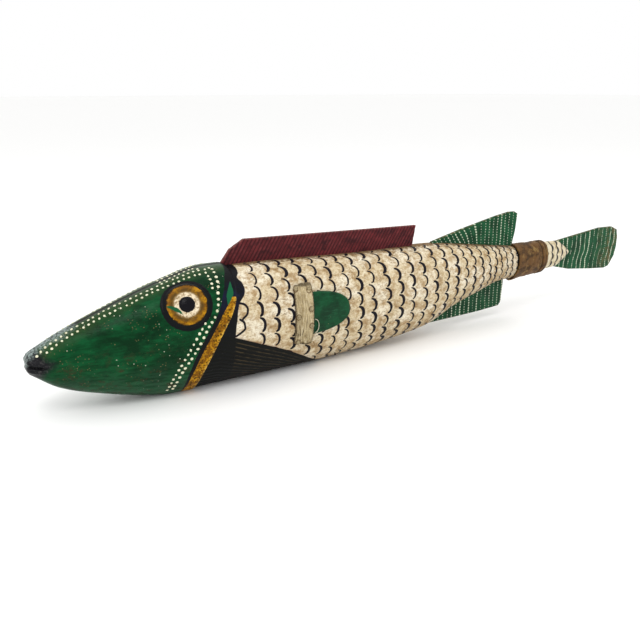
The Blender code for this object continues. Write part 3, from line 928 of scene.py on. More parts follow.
    def relief(self, bare: Array, kept: dict[str, Array]) -> Array:
        """How far each point is carved out of the bare surface, in mm.

        Args:
            bare: The bare surface's points.
            kept: The fields.

        Returns:
            One height for each point, outwards.
        """
        behind, under, x, z = kept["behind"], kept["under"], bare[:, 0] / MM, bare[:, 2] / MM
        cover = self.gill.proud / MM * ramp(-70, -4, behind) * (1 - ramp(-0.7, 0.9, behind))
        ball = self.eye.profile(kept["eye"])
        ridge = np.abs(np.mod(under / self.lines.ridge_pitch, 1.0) - 0.5) * 2
        grooves = -0.55 * (1 - ridge) ** 1.3 * ramp(0.3, 3, under) * ramp(0.5, 4, behind)
        edge = -0.7 * bell(under, 0.8) * ramp(3, 8, behind)
        tip = 1 - ramp(-438, -430, x)
        lips = z - self.MOUTH_Z + self.MOUTH_SLOPE * (x + 450)
        mouth = tip * (1.3 * bell(np.abs(lips) - 4.2, 2.6) - 3.4 * bell(lips, 1.5))
        crest = -0.5 * bell(kept["down"], 2.0) * (1 - ramp(-6, 0, behind))
        adzed = 0.35 * hilly(bare, 42, 1) + 0.16 * hilly(bare, 12, 2)
        kept_in = ramp(-450.2, -448.6, x) * (1 - ramp(205, 212, x))
        return (cover + ball + grooves + edge + mouth + crest + adzed - 0.3) * kept_in


@dataclass(frozen=True)
class Brushwork:
    """What the log's layers of paint share: its fields, and noises from grit to broad blots."""

    palette: Palette
    read: dict[str, Socket]
    fine: Socket
    broad: Socket
    blot: Socket
    grain: Socket
    shake: Socket
    ridge_pitch: float


@dataclass(frozen=True)
class LogPaint:
    """Flour-and-glue limewash and enamel brushed on carved softwood, then worn by handling.

    The cream is dull and stained, the enamels carry a hand-brushed gloss, and where either is
    knocked off the brown wood shows.
    """

    cream: str = "#d2c2a0"
    pale: str = "#e7dec7"
    tan: str = "#ae9269"
    # Dirt, and the painted shade towards the belly.
    grime: str = "#7d6340"
    wood: str = "#5f4629"
    ink: str = "#15131a"
    green: str = "#033a1b"
    deep_green: str = "#012710"
    light_green: str = "#064b26"
    olive: str = "#2b4423"
    ochre: str = "#784c07"
    bright_ochre: str = "#c08a15"
    dark_ochre: str = "#3a2705"
    navy: str = "#161b33"
    black: str = "#101113"
    belly: str = "#111210"
    belly_brown: str = "#4a3f2c"
    eye_cream: str = "#e8d8ba"
    snout: str = "#19191c"

    def make(self, lines: PaintLines) -> bpy.types.Material:
        """Builds the paint from the wood up.

        Args:
            lines: The edges between the paints.

        Returns:
            The material.
        """
        p = Palette("brushed_limewash_and_enamel_on_softwood", self.cream, 0.62)
        read = {name: p.add("Attribute", out="Fac", attribute_name=name) for name in (
            "behind", "head", "ochre", "sliver", "band", "under", "loops", "eye", "smear",
            "down", "keel", "column", "row",
        )}
        brush = Brushwork(
            p, read, p.cloud((2.2,), 4, 0.6), p.cloud((34, 34, 22), 4, 0.6),
            p.cloud((11, 9, 9), 5, 0.62), p.cloud((18, 1.6, 1.6), 4, 0.6),
            p.add("Math:MULTIPLY_ADD", p.cloud((3.2,), 3, 0.5), 1.6, -0.8), lines.ridge_pitch)
        for layer in (self._limewash, self._strokes, self._bands, self._head, self._eyes):
            layer(brush)
        p.raise_by(brush.fine, 0.10)
        p.raise_by(brush.grain, 0.16)
        return p.done(specular=0.08)

    def _limewash(self, brush: Brushwork) -> None:
        """The stained cream ground, with its flecks, scratches and drying cracks.

        Args:
            brush: What the layers share.
        """
        p, read = brush.palette, brush.read
        p.lay((brush.broad, 0.44, 0.60), self.pale)
        p.lay((brush.blot, 0.46, 0.62, 0.0, 0.85), self.tan)
        mottle = p.cloud((4.0, 3.2, 3.2), 5, 0.7)
        p.lay((mottle, 0.50, 0.64, 0.0, 0.7), "#a08058", 0.68)
        grit = p.cloud((1.5, 1.2, 1.2), 4, 0.75)
        p.lay((grit, 0.54, 0.66, 0.0, 0.7), "#8f7048", 0.7)
        p.lay((mottle, 0.44, 0.36, 0.0, 0.55), self.pale)
        p.lay([(brush.blot, 0.52, 0.74), (brush.broad, 0.55, 0.40), 0.85], self.grime, 0.72)
        # Darker towards the belly, within about 60 mm of its middle line: painted shade of the
        # underside, partly grime.
        p.lay([(p.add("Math:MULTIPLY_ADD", brush.blot, 24.0, read["keel"]), 62.0, 16.0), 0.45],
              self.grime, 0.7)
        p.lay((brush.grain, 0.60, 0.76, 0.0, 0.55), self.grime)
        p.lay([(p.add("Math:MULTIPLY_ADD", mottle, -30.0, read["down"]), -1.0, -8.0), 0.9],
              "#6a4f30", 0.75)
        fleck = p.add("TexVoronoi", p.place(4.5, 3.0, 2.6), at={"Scale": 1.0}, out="Distance")
        chance = p.add("MapRange", p.cloud((16,), 2), 0.50, 0.62)
        dots = p.where((fleck, 0.24, 0.12), chance)
        p.lay([dots, 0.85], self.wood, 0.8)
        split = p.add("TexVoronoi", p.place(26, 7, 5.5), at={"Scale": 1.0}, out="Distance",
                      feature="DISTANCE_TO_EDGE")
        crack = p.where((split, 0.022, 0.0), (p.cloud((22,), 2), 0.50, 0.60))
        p.lay([crack, 0.8], self.grime)
        p.raise_by(crack, -0.25)
        p.raise_by(dots, -0.2)

    def _strokes(self, brush: Brushwork) -> None:
        """The scales: one arched brush stroke in each cell of columns and staggered rows.

        A stroke is the right half of an oval, drawn thick at its bulge and thin at its ends, and
        its upper half starts further left, as a hook.

        Args:
            brush: What the layers share.
        """
        p, read = brush.palette, brush.read
        pitch, height, reach = 18.5, 17.0, 0.86
        column = p.add("Math:MULTIPLY_ADD", brush.shake, 0.035, read["column"])
        number = p.add("Math:FLOOR", column)
        lane = p.add("TexWhiteNoise", at={"W": number}, noise_dimensions="1D")
        odd = p.add("Math:MODULO", p.add("Math:ABSOLUTE", number), 2.0)
        half_step = p.add("Math:MULTIPLY", odd, 0.5)
        row = p.add("Math:MULTIPLY_ADD", brush.shake, 0.04, read["row"])
        row = p.add("Math:ADD", p.add("Math:ADD", row, half_step),
                    p.add("Math:MULTIPLY", lane, 0.45))
        cell = p.add("CombineXYZ", number, p.add("Math:FLOOR", row), 0.0)
        luck = p.add("SeparateColor", p.add("TexWhiteNoise", cell, out="Color"), out=0)
        t = p.add("Math:MULTIPLY_ADD", p.add("Math:FRACT", row), 2.0, -1.0)
        upper = p.add("Math:MULTIPLY", p.add("Math:SIGN", read["row"]), t)
        t = p.add("Math:DIVIDE", t, reach)
        bulge = p.add("MapRange", upper, -0.05, 0.05, 6.8, 4.6)
        right = p.add("Math:MULTIPLY_ADD", luck, 4.4, 1.0)
        x = p.add("Math:MULTIPLY_ADD", p.add("Math:FRACT", column), pitch, -pitch / 2)
        x = p.add("Math:SUBTRACT", x, p.add("Math:SUBTRACT", right, bulge))
        across = p.add("Math:DIVIDE", x, bulge)
        q = p.add("Math:SQRT", p.add("Math:ADD", p.add("Math:MULTIPLY", across, across),
                                     p.add("Math:MULTIPLY", t, t)))
        steep = p.add("Math:SQRT", p.add("Math:ADD",
                      p.add("Math:POWER", p.add("Math:DIVIDE", across, bulge), 2.0),
                      p.add("Math:POWER", p.add("Math:DIVIDE", t, reach * height / 2), 2.0)))
        gap = p.add("Math:ABSOLUTE", p.add("Math:SUBTRACT", q, 1.0))
        gap = p.add("Math:DIVIDE", p.add("Math:MULTIPLY", gap, q), p.add("Math:MAXIMUM", steep, 0.001))
        along = p.axis("X")
        load = p.add("MapRange", luck.node.outputs[1], 0.0, 1.0, 1.15, 2.15)
        load = p.add("Math:MULTIPLY", load, p.add("MapRange", along, 0.0, 150.0, 1.0, 1.35))
        swell = p.add("MapRange", p.add("Math:DIVIDE", across, q), 0.0, 0.9, 0.50, 1.0)
        flutter = p.add("Math:MULTIPLY_ADD", brush.fine, 0.7, -0.3)
        width = p.add("Math:ADD", p.add("Math:MULTIPLY", load, swell), flutter)
        inked = p.add("MapRange", p.add("Math:SUBTRACT", width, gap), -0.16, 0.16)
        drawn = p.where(inked, p.add("Math:GREATER_THAN", across, 0.0),
                        p.add("Math:GREATER_THAN", column, 1.0))
        p.lay([drawn, (read["keel"], 3.0, 6.0), (read["down"], 3.0, 5.0)], self.ink, 0.45)
        p.lay((read["loops"], -0.2, 0.3), self.ink, 0.45)
        p.lay((along, 209.6, 210.4), self.ink, 0.5)

    def _bands(self, brush: Brushwork) -> None:
        """The carved belly, the black behind the gill, and the ochre along its edge.

        Args:
            brush: What the layers share.
        """
        p, read = brush.palette, brush.read
        under = p.add("Math:MULTIPLY_ADD", brush.shake, 0.5, read["under"])
        p.lay([(under, -2.2, -0.6), 0.35], "#6b2f24")
        p.lay((under, -0.4, 0.2), self.belly, 0.5)
        phase = p.add("Math:FRACT", p.add("Math:DIVIDE", under, brush.ridge_pitch))
        crest = p.add("Math:ABSOLUTE", p.add("Math:MULTIPLY_ADD", phase, 2.0, -1.0))
        worn = p.where((crest, 0.55, 0.90), (brush.blot, 0.34, 0.56, 0.25, 1.0), (under, 0.5, 1.5))
        p.lay([worn, 0.8], self.belly_brown, 0.55)
        band = p.add("MapRange", p.add("Math:MULTIPLY_ADD", brush.shake, 0.6, read["band"]), -0.3, 0.3)
        p.lay(band, self.black, 0.36)
        height = p.axis("Z")
        p.lay([band, (height, 86.0, 98.0), (height, 121.0, 112.0),
               (brush.blot, 0.40, 0.60, 0.1, 0.8)], self.navy, 0.16)
        p.lay([(under, -0.4, 0.2), (read["behind"], 1.0, 2.5), (worn, 1.0, 0.0)], self.belly, 0.5)
        p.lay((p.add("Math:MULTIPLY_ADD", brush.shake, 0.7, read["sliver"]), -0.2, 0.3), "#155a38",
              0.3)
        ochre = p.add("Math:MULTIPLY_ADD", brush.shake, 0.6, read["ochre"])
        covered = p.add("MapRange", ochre, -0.2, 0.3)
        p.lay(covered, self.ochre, 0.36)
        yellow = p.add("Math:MULTIPLY_ADD", brush.fine, 0.8, brush.blot)
        p.lay([covered, (yellow, 0.84, 1.02, 0.0, 0.9)], self.bright_ochre)
        p.lay([covered, (read["behind"], -3.4, -0.8), (brush.fine, 0.42, 0.60)], "#d9b04a")
        speck = p.add("TexVoronoi", p.place(3.0), at={"Scale": 1.0}, out="Distance")
        p.lay([covered, (speck, 0.46, 0.24, 0.0, 0.9)], self.dark_ochre, 0.55)

    def _head(self, brush: Brushwork) -> None:
        """The green enamel of the head, streaked by the brush and worn low down.

        Args:
            brush: What the layers share.
        """
        p, read = brush.palette, brush.read
        edge = p.add("Math:MULTIPLY_ADD", brush.shake, 0.5, read["head"])
        head = p.add("MapRange", edge, -0.25, 0.25)
        p.lay(head, self.green, 0.27)
        streak = p.cloud((30, 5, 3.5), 4, 0.6)
        p.lay([head, (streak, 0.40, 0.62)], self.light_green)
        p.lay([head, (brush.broad, 0.56, 0.42, 0.0, 0.9)], self.deep_green)
        p.lay([head, (p.add("Math:MULTIPLY_ADD", brush.blot, -18.0, read["down"]), 17.0, 3.0),
               0.85], self.olive, 0.34)
        height = p.axis("Z")
        p.lay([head, (height, 52.0, 22.0), (streak, 0.40, 0.56, 0.2, 0.9), 0.6], "#33573f", 0.4)
        p.lay([head, (height, 72.0, 46.0), (p.cloud((13, 9, 9), 5, 0.72), 0.54, 0.66), 0.9],
              "#33301c", 0.5)
        p.lay([head,
               (p.add("TexVoronoi", p.place(3.0), at={"Scale": 1.0}, out="Distance"), 0.22, 0.14),
               (p.cloud((15,), 2), 0.53, 0.61)], "#6b6040", 0.7)
        p.lay([head,
               (p.add("TexVoronoi", p.place(5.5), at={"Scale": 1.0}, out="Distance"), 0.12, 0.07),
               (p.cloud((21,), 2), 0.50, 0.60)], "#c9c9b4", 0.6)
        p.lay([(p.add("Math:MULTIPLY_ADD", brush.shake, 1.6, read["down"]), 4.2, 2.4),
               (read["behind"], 4.0, 0.0)], "#23281f", 0.5)
        along = p.axis("X")
        off_mouth = p.add("Math:ABSOLUTE", p.add("Math:SUBTRACT", height, 58.0))
        mouth = p.add("MapRange", off_mouth, 2.0, 16.0, -9.0, 5.0)
        nose = p.add("MapRange", p.add("Math:ADD", mouth, p.add(
            "Math:MULTIPLY_ADD", brush.blot, 14.0, along)), -423.0, -434.0)
        p.lay(nose, self.snout, 0.3)
        p.lay([nose, (brush.fine, 0.52, 0.68, 0.0, 0.45)], "#5a5856")
        # A grey-white strip along the ridge of the snout: a painted highlight of the gloss, with some
        # real scuffs.
        p.lay([(along, -396.0, -408.0),
               (p.add("Math:MULTIPLY_ADD", brush.blot, 14.0, read["down"]), 20.0, 12.0),
               (brush.fine, 0.42, 0.58, 0.1, 0.9)], "#93a19d", 0.35)

    def _eyes(self, brush: Brushwork) -> None:
        """The rings of each eye, from the black outline in to the pupil.

        Args:
            brush: What the layers share.
        """
        p, read = brush.palette, brush.read
        r = p.add("Math:MULTIPLY_ADD", brush.shake, 1.1, read["eye"])
        p.lay((r, 27.2, 26.6), self.black, 0.33)
        p.lay((r, 21.0, 20.4), self.ochre, 0.36)
        yellow = p.add("Math:MULTIPLY_ADD", brush.fine, 0.8, brush.blot)
        p.lay([(r, 21.0, 20.4), (yellow, 0.84, 1.02, 0.0, 0.85)], self.bright_ochre)
        p.lay([(p.add("Math:ABSOLUTE", p.add("Math:SUBTRACT", r, 20.4)), 1.1, 0.2),
               (brush.blot, 0.58, 0.46)], "#2a1d08")
        # Brown down the ring's inner slope and in the groove inside it: partly brown paint, partly
        # painted shade in the recess.
        p.lay([(r, 18.8, 16.4), (brush.blot, 0.70, 0.46)], "#57401a", 0.5)
        p.lay((r, 15.0, 13.6), "#8a7146", 0.5)
        p.lay((r, 13.6, 12.0), self.eye_cream, 0.45)
        p.lay([(r, 14.2, 12.0), (brush.fine, 0.50, 0.62, 0.0, 0.85)], "#7f6540")
        p.lay([(r, 13.6, 11.6), (brush.blot, 0.48, 0.62, 0.0, 0.5)], "#9c8358")
        p.lay([(r, 20.6, 19.6), (r, 12.4, 13.4), (brush.fine, 0.50, 0.62, 0.0, 0.7)], "#6b4712")
        p.lay((p.add("Math:MULTIPLY_ADD", brush.shake, 0.8, read["smear"]), -0.3, 0.3), "#175433",
              0.3)
        p.lay((r, 8.5, 8.0), "#100f14", 0.16)


# ------------------------------------------------------------------------------- the paint dots


@dataclass(frozen=True)
class DotRow:
    """A row of paint dots, by the (x, z) in mm of points that it passes on the left flank."""

    points: Pairs
    spacing: float = 6.0
    radius: float = 1.75


@dataclass
class PaintDots:
    """The rows of cream dots on the head, each dot a low bead of thick paint."""

    log: PaintedLog
    rows: tuple[DotRow, ...]
    height: float = 0.0007

    def build(self) -> bpy.types.Object:
        """Models one bead and sets copies of it along the rows, on both flanks.

        Returns:
            The beads as one piece.
        """
        Bench.clear()
        bpy.ops.mesh.primitive_uv_sphere_add(segments=10, ring_count=6, radius=1.0)
        bead = bpy.context.active_object
        Bench.edit(lambda: bpy.ops.mesh.bisect(plane_co=(0, 0, -0.3), plane_no=(0, 0, 1),
                                               clear_inner=True, use_fill=True))
        made = []
        draw = np.random.default_rng(SEED)
        for side in Side:
            for row in self.rows:
                spots = self._spots(row, draw)
                if side is Side.RIGHT:
                    spots = spots * (1, -1) + (0, 1)
                points, outs, _ = self.log.carve(spots[:, 0], spots[:, 1])
                made += [self._bead(bead, Vector(on), Vector(out), row.radius, draw)
                         for on, out in zip(points, outs)]
        bpy.data.objects.remove(bead)
        Bench.clear()
        for one in made:
            one.select_set(True)
        bpy.context.view_layer.objects.active = made[0]
        bpy.ops.object.join()
        dots = bpy.context.active_object
        dots.name = dots.data.name = "paint_dots"
        Bench.smooth(dots, 60)
        return dots

    def _spots(self, row: DotRow, draw: np.random.Generator) -> Array:
        """Where a row's dots lie, a step apart with a hand's unevenness.

        Args:
            row: The row.
            draw: The random numbers.

        Returns:
            The u and v of each dot, one dot a row.
        """
        unrolled = self.log.unrolled
        marks = np.array([unrolled.find(x * MM, z * MM) for x, z in row.points])
        turn = np.linspace(0, 1, len(marks))
        fine = np.linspace(0, 1, 400)
        track = np.stack([Line(tuple(zip(turn, marks[:, i])))(fine) for i in (0, 1)], axis=1)
        points = unrolled.read(unrolled.places, track[:, 0], track[:, 1]) / MM
        legs = np.concatenate([[0], np.cumsum(np.linalg.norm(np.diff(points, axis=0), axis=1))])
        count = max(int(round(legs[-1] / row.spacing)), 1)
        along = np.linspace(0, legs[-1], count + 1) + draw.uniform(-0.5, 0.5, count + 1)
        off = draw.uniform(-0.0009, 0.0009, count + 1)
        return np.stack([np.interp(along, legs, track[:, 0]),
                         np.clip(np.interp(along, legs, track[:, 1]) + off, 0.012, 0.497)], axis=1)

    def _bead(self, bead: bpy.types.Object, on: Vector, out: Vector, radius: float,
              draw: np.random.Generator) -> bpy.types.Object:
        """A copy of the bead, lying on the log.

        Args:
            bead: The bead to copy.
            on: Where it lies.
            out: The direction out of the log there.
            radius: Its radius in mm.
            draw: The random numbers.

        Returns:
            The copy.
        """
        ahead = Vector((1, 0, 0))
        ahead = (ahead - out * ahead.dot(out)).normalized()
        over = out.cross(ahead)
        long, wide = radius * MM * draw.uniform(0.82, 1.2, 2)
        turned = draw.uniform(-0.5, 0.5)
        ahead, over = (ahead * math.cos(turned) + over * math.sin(turned),
                       over * math.cos(turned) - ahead * math.sin(turned))
        one = bead.copy()
        one.data = bead.data.copy()
        bpy.context.collection.objects.link(one)
        shape = Bench.points(bead)
        points = (np.array(on) + shape[:, :1] * long * np.array(ahead)
                  + shape[:, 1:2] * wide * np.array(over)
                  + shape[:, 2:] * self.height * np.array(out))
        Bench.move(one, points)
        return one


# --------------------------------------------------------------------------------- the boards


@dataclass
class Board:
    """A flat fin, sawn to an outline in the fish's middle plane, with its arrises rubbed round.

    lean tilts the grid's columns, so that cut grooves can follow them.
    """

    name: str
    node: str
    body: str
    outline: Pairs
    thick: float
    cell: float = 0.0026
    lean: float = 0.0
    rub: float = 0.0012
    groove_pitch: float = 0.0
    groove_depth: float = 0.0007

    def build(self) -> bpy.types.Object:
        """Models the board.

        Returns:
            The finished piece, with its outline's distance stored as "inside".
        """
        corners = np.array(self.outline)
        low, high = corners.min(axis=0) - 0.004, corners.max(axis=0) + 0.004
        spread = abs(self.lean) * (high[1] - low[1])
        low[0], high[0] = low[0] - spread, high[0] + spread
        across, up = (int(round(v)) for v in (high - low) / (self.cell, max(self.cell, 0.002)))

        def place(along: Array, above: Array) -> Array:
            """The grid's points, in columns that lean with the grooves.

            Args:
                along: Shares of the way along.
                above: Shares of the way up.

            Returns:
                One point for each place.
            """
            z = low[1] + above * (high[1] - low[1])
            x = low[0] + along * (high[0] - low[0]) + self.lean * (z - (low[1] + high[1]) / 2)
            return np.stack([x, np.zeros_like(x), z], axis=1)

        board = Bench.sheet(self.name, across, up, place, weld=False)
        ways = self._edges(corners)
        for depth, clear in ((0.0, True), (self.rub, False)):
            for start, inward in ways:
                cut = start + inward * depth
                Bench.edit(lambda: bpy.ops.mesh.bisect(
                    plane_co=(cut[0], 0, cut[1]), plane_no=(inward[0], 0, inward[1]),
                    clear_inner=clear))
        flat = Bench.points(board)
        inside = np.min([(flat[:, [0, 2]] - start) @ inward for start, inward in ways], axis=0)
        Bench.field(board, "inside", inside / MM)
        full = 0.42 + 0.58 * np.sqrt(ramp(-0.2 * self.rub, self.rub, inside))
        full *= 1 + 0.03 * hilly(flat, 20, 4)
        if self.groove_pitch:
            phase = (flat[:, 0] - self.lean * flat[:, 2]) / self.groove_pitch
            Bench.field(board, "groove", phase)
            valley = bell(np.mod(phase, 1.0) - 0.5, 0.16)
            full -= valley * 2 * self.groove_depth / self.thick
        Bench.weigh(board, full)
        Bench.thicken(board, self.thick, 0.0, 0.0)
        Bench.smooth(board, 38)
        return board

    @staticmethod
    def _edges(corners: Array) -> list[tuple[Array, Array]]:
        """The sides of the outline.

        Args:
            corners: The outline's corners.

        Returns:
            For each side, a point on it and the direction in from it.
        """
        middle = corners.mean(axis=0)
        found = []
        for start, end in zip(corners, np.roll(corners, -1, axis=0)):
            along = (end - start) / np.linalg.norm(end - start)
            inward = np.array((-along[1], along[0]))
            found.append((start, inward * np.sign((middle - start) @ inward)))
        return found


@dataclass(frozen=True)
class MaroonPaint:
    """Oxblood oil paint, brushed thin on a board scored with slanting gouge cuts.

    The cuts hold dark paint, and their crests are rubbed paler.
    """

    red: str = "#541a1e"
    dark: str = "#2f0f14"
    rubbed: str = "#7d3c3e"

    def make(self) -> bpy.types.Material:
        """Builds the paint.

        Returns:
            The material.
        """
        p = Palette("brushed_oxblood_oil_paint", self.red, 0.5)
        blot, fine = p.cloud((14, 14, 8), 4), p.cloud((1.6,), 3)
        p.lay((blot, 0.48, 0.64, 0.0, 0.75), self.dark, 0.55)
        p.lay((p.cloud((26, 26, 12), 3), 0.52, 0.66, 0.0, 0.6), "#74272b", 0.45)
        phase = p.add("Attribute", out="Fac", attribute_name="groove")
        phase = p.add("Math:MULTIPLY_ADD", fine, 0.16, phase)
        gap = p.add("Math:ABSOLUTE", p.add("Math:SUBTRACT", p.add("Math:FRACT", phase), 0.58))
        p.lay((gap, 0.20, 0.06, 0.0, 0.85), self.dark, 0.6)
        p.lay([(gap, 0.30, 0.42), (p.cloud((7,), 4, 0.7), 0.44, 0.66), 0.55], self.rubbed, 0.5)
        rim = p.add("Attribute", out="Fac", attribute_name="inside")
        p.lay([(rim, 1.0, 0.2), (fine, 0.4, 0.6), 0.6], "#8a5a50", 0.6)
        p.raise_by(fine, 0.12)
        return p.done(0.14)


class FinLines(Enum):
    """How a green fin is drawn on."""

    FAN_OF_DOTS = "fan_of_dots"
    WAVY_STROKES = "wavy_strokes"


@dataclass(frozen=True)
class FinPaint:
    """Green enamel brushed on a sawn board, with rows of dots or thin strokes in cream.

    It is glossy where it lies thick, and worn to brown wood at the corners.
    """

    lines: FinLines
    pitch: float
    spread: float = 0.0
    middle_x: float = 0.0
    base_z: float = 0.0
    green: str = "#124b2c"
    dark: str = "#09351c"
    cream: str = "#cdd6bb"
    wear: str = "#6d5a3a"
    wear_from: float = 1.0e6

    def make(self, name: str) -> bpy.types.Material:
        """Builds the paint.

        Args:
            name: The material's name.

        Returns:
            The material.
        """
        p = Palette(name, self.green, 0.4)
        blot, fine = p.cloud((12, 12, 16), 4), p.cloud((1.5,), 3)
        p.lay((blot, 0.44, 0.62), self.dark, 0.36)
        streak = p.cloud((2.0, 2.0, 14), 4, 0.6)
        p.lay((streak, 0.56, 0.70, 0.0, 0.28), "#4f8060")
        x, z = p.axis("X"), p.axis("Z")
        fanned = self.lines is FinLines.FAN_OF_DOTS
        drawn = self._dots(p, x, z, fine) if fanned else self._waves(p, x, z)
        p.lay(drawn, self.cream, 0.5)
        p.raise_by(drawn, 0.15)
        rim = p.add("Attribute", out="Fac", attribute_name="inside")
        p.lay([(rim, 1.4, 0.1), (p.cloud((5,), 3), 0.45, 0.6), 0.8], self.wear, 0.7)
        p.lay([(x, self.wear_from, self.wear_from + 30),
               (p.cloud((6, 6, 9), 5, 0.7), 0.47, 0.62, 0.0, 0.65)], self.wear, 0.65)
        p.raise_by(fine, 0.1)
        return p.done(0.10)

    def _rows(self, p: Palette, ray: Socket) -> tuple[Socket, Socket]:
        """Rows across the fin.

        Args:
            p: The material in the making.
            ray: How far across the rows a place is, in mm.

        Returns:
            Each row's luck, from 0 to 1, and how far from the row's middle a place is.
        """
        share = p.add("Math:DIVIDE", ray, self.pitch)
        luck = p.add("TexWhiteNoise", at={"W": p.add("Math:FLOOR", share)}, noise_dimensions="1D")
        middle = p.add("Math:SUBTRACT", p.add("Math:FRACT", share), 0.5)
        return luck, p.add("Math:MULTIPLY", middle, self.pitch)

    def _dots(self, p: Palette, x: Socket, z: Socket, fine: Socket) -> Socket:
        """Where the rows of small dots are, fanned out from the fin's foot.

        Args:
            p: The material in the making.
            x: The place along the fish, in mm.
            z: Its height, in mm.
            fine: Fine noise.

        Returns:
            1 in a dot and 0 beside it.
        """
        above = p.add("Math:SUBTRACT", z, self.base_z)
        lean = p.add("MapRange", x, self.middle_x - 45, self.middle_x, self.spread, 0.0)
        ray = p.add("Math:MULTIPLY_ADD", above, lean, x)
        ray = p.add("Math:MULTIPLY_ADD", p.cloud((18,), 2), 3.0, ray)
        luck, off = self._rows(p, ray)
        step = p.add("Math:MULTIPLY_ADD", luck, 7.0, p.add("Math:DIVIDE", above, 3.7))
        down = p.add("Math:MULTIPLY", p.add("Math:SUBTRACT", p.add("Math:FRACT", step), 0.5), 3.0)
        gap = p.add("Math:SQRT", p.add("Math:ADD", p.add("Math:MULTIPLY", off, off),
                                       p.add("Math:MULTIPLY", down, down)))
        size = p.add("Math:MULTIPLY_ADD", fine, 1.5, p.add("MapRange", luck, 0.0, 1.0, -0.22, 0.34))
        return p.where((p.add("Math:SUBTRACT", size, gap), -0.25, 0.3), (luck, 0.0, 1.0, 0.6, 1.0))

    def _waves(self, p: Palette, x: Socket, z: Socket) -> Socket:
        """Where the thin wavy strokes are, broken where the brush ran dry.

        Args:
            p: The material in the making.
            x: The place along the fish, in mm.
            z: Its height, in mm.

        Returns:
            1 in a stroke and 0 beside it.
        """
        bend = p.add("Math:SINE", p.add("Math:MULTIPLY_ADD", z, 0.13, 0.4))
        ray = p.add("Math:ADD", p.add("Math:MULTIPLY_ADD", bend, 1.3, x),
                    p.add("Math:MULTIPLY", p.cloud((20,), 3, 0.6), 7.0))
        ray = p.add("Math:MULTIPLY_ADD", z, -0.10, ray)
        luck, off = self._rows(p, ray)
        width = p.add("MapRange", luck, 0.0, 1.0, 0.15, 0.75)
        beat = p.add("Math:SINE", p.add("Math:MULTIPLY_ADD", luck, 9.0, p.add("Math:MULTIPLY", z, 2.0)))
        width = p.add("Math:MULTIPLY_ADD", beat, 0.34, width)
        line = p.add("MapRange", p.add("Math:SUBTRACT", width, p.add("Math:ABSOLUTE", off)), -0.35, 0.2)
        dry = p.add("MapRange", p.add("Math:ADD", p.cloud((2.2, 2.2, 5), 4, 0.7), p.add(
            "Math:MULTIPLY", luck, 0.16)), 0.46, 0.58)
        return p.add("Math:MULTIPLY", line, dry)


# --------------------------------------------------------------------------- the tail's joint


@dataclass
class TailStock:
    """The root of the tail, which comes out of the sleeve and tapers over the fin."""

    shape: LogShape
    start_x: float = 0.2480
    end_x: float = 0.3350

    def build(self) -> bpy.types.Object:
        """Models the stock.

        Returns:
            The finished piece.
        """

        def place(along: Array, around: Array) -> Array:
            """The stock's surface.

            Args:
                along: Shares of the way along.
                around: Shares of the way round.

            Returns:
                One point for each place.
            """
            angle = np.pi / 2 + 2 * np.pi * around
            across, up = self.shape.unit(angle)
            x = self.start_x + along**0.8 * (self.end_x - self.start_x)
            tip = np.sqrt(np.clip(1 - ramp(self.end_x - 0.003, self.end_x, x) ** 2, 0.0, 1.0))
            y = self.shape.core_half_width(x) * across * tip
            z = self.shape.core_middle(x) + self.shape.core_half_height(x) * up * tip
            bevel = self.shape.end_slope * np.abs(y) * (1 - ramp(0.0, 0.1, along))
            x = np.minimum(x + bevel, self.end_x)
            points = np.stack([x, y, z], axis=1)
            lumps = 1 + 0.018 * hilly(points, 16, 6) * (x > 0.286)
            points[:, 1] *= lumps
            return points

        stock = Bench.sheet("carved_tail_stock", 70, 96, place)
        Bench.edit(Bench.close_hole)
        Bench.smooth(stock, 60)
        return stock


@dataclass(frozen=True)
class StockPaint:
    """The log's limewash again, with its strokes drawn right round as wavering rings."""

    cream: str = "#d9cdb0"
    tan: str = "#a89468"
    ink: str = "#1a171c"

    def make(self) -> bpy.types.Material:
        """Builds the paint.

        Returns:
            The material.
        """
        p = Palette("brushed_limewash_on_softwood", self.cream, 0.62)
        blot, fine = p.cloud((7,), 5, 0.65), p.cloud((1.8,), 3)
        p.lay((blot, 0.46, 0.66, 0.0, 0.8), self.tan, 0.7)
        p.lay((blot, 0.62, 0.74, 0.0, 0.8), "#6f5a3a", 0.75)
        x, z = p.axis("X"), p.axis("Z")
        row = p.add("Math:DIVIDE", p.add("Math:SUBTRACT", z, 60.0), 12.5)
        column = p.add("Math:DIVIDE", p.add("Math:SUBTRACT", x, 281.0), 13.0)
        number = p.add("Math:FLOOR", column)
        row = p.add("Math:MULTIPLY_ADD", number, 0.42, row)
        t = p.add("Math:MULTIPLY_ADD", p.add("Math:FRACT", row), 2.0, -1.0)
        bow = p.add("Math:MULTIPLY", p.add("Math:MULTIPLY", t, t), 3.2)
        off = p.add("Math:MULTIPLY_ADD", p.add("Math:FRACT", column), 13.0, -8.6)
        off = p.add("Math:ADD", off, bow)
        off = p.add("Math:MULTIPLY_ADD", fine, 1.2, p.add("Math:ADD", off, -0.6))
        width = p.add("Math:MULTIPLY_ADD", p.add("Math:MULTIPLY", t, t), -1.3, 2.3)
        p.lay([(p.add("Math:SUBTRACT", width, p.add("Math:ABSOLUTE", off)), -0.25, 0.2),
               (x, 331.0, 328.0)], self.ink, 0.5)
        p.raise_by(fine, 0.12)
        return p.done(0.2)


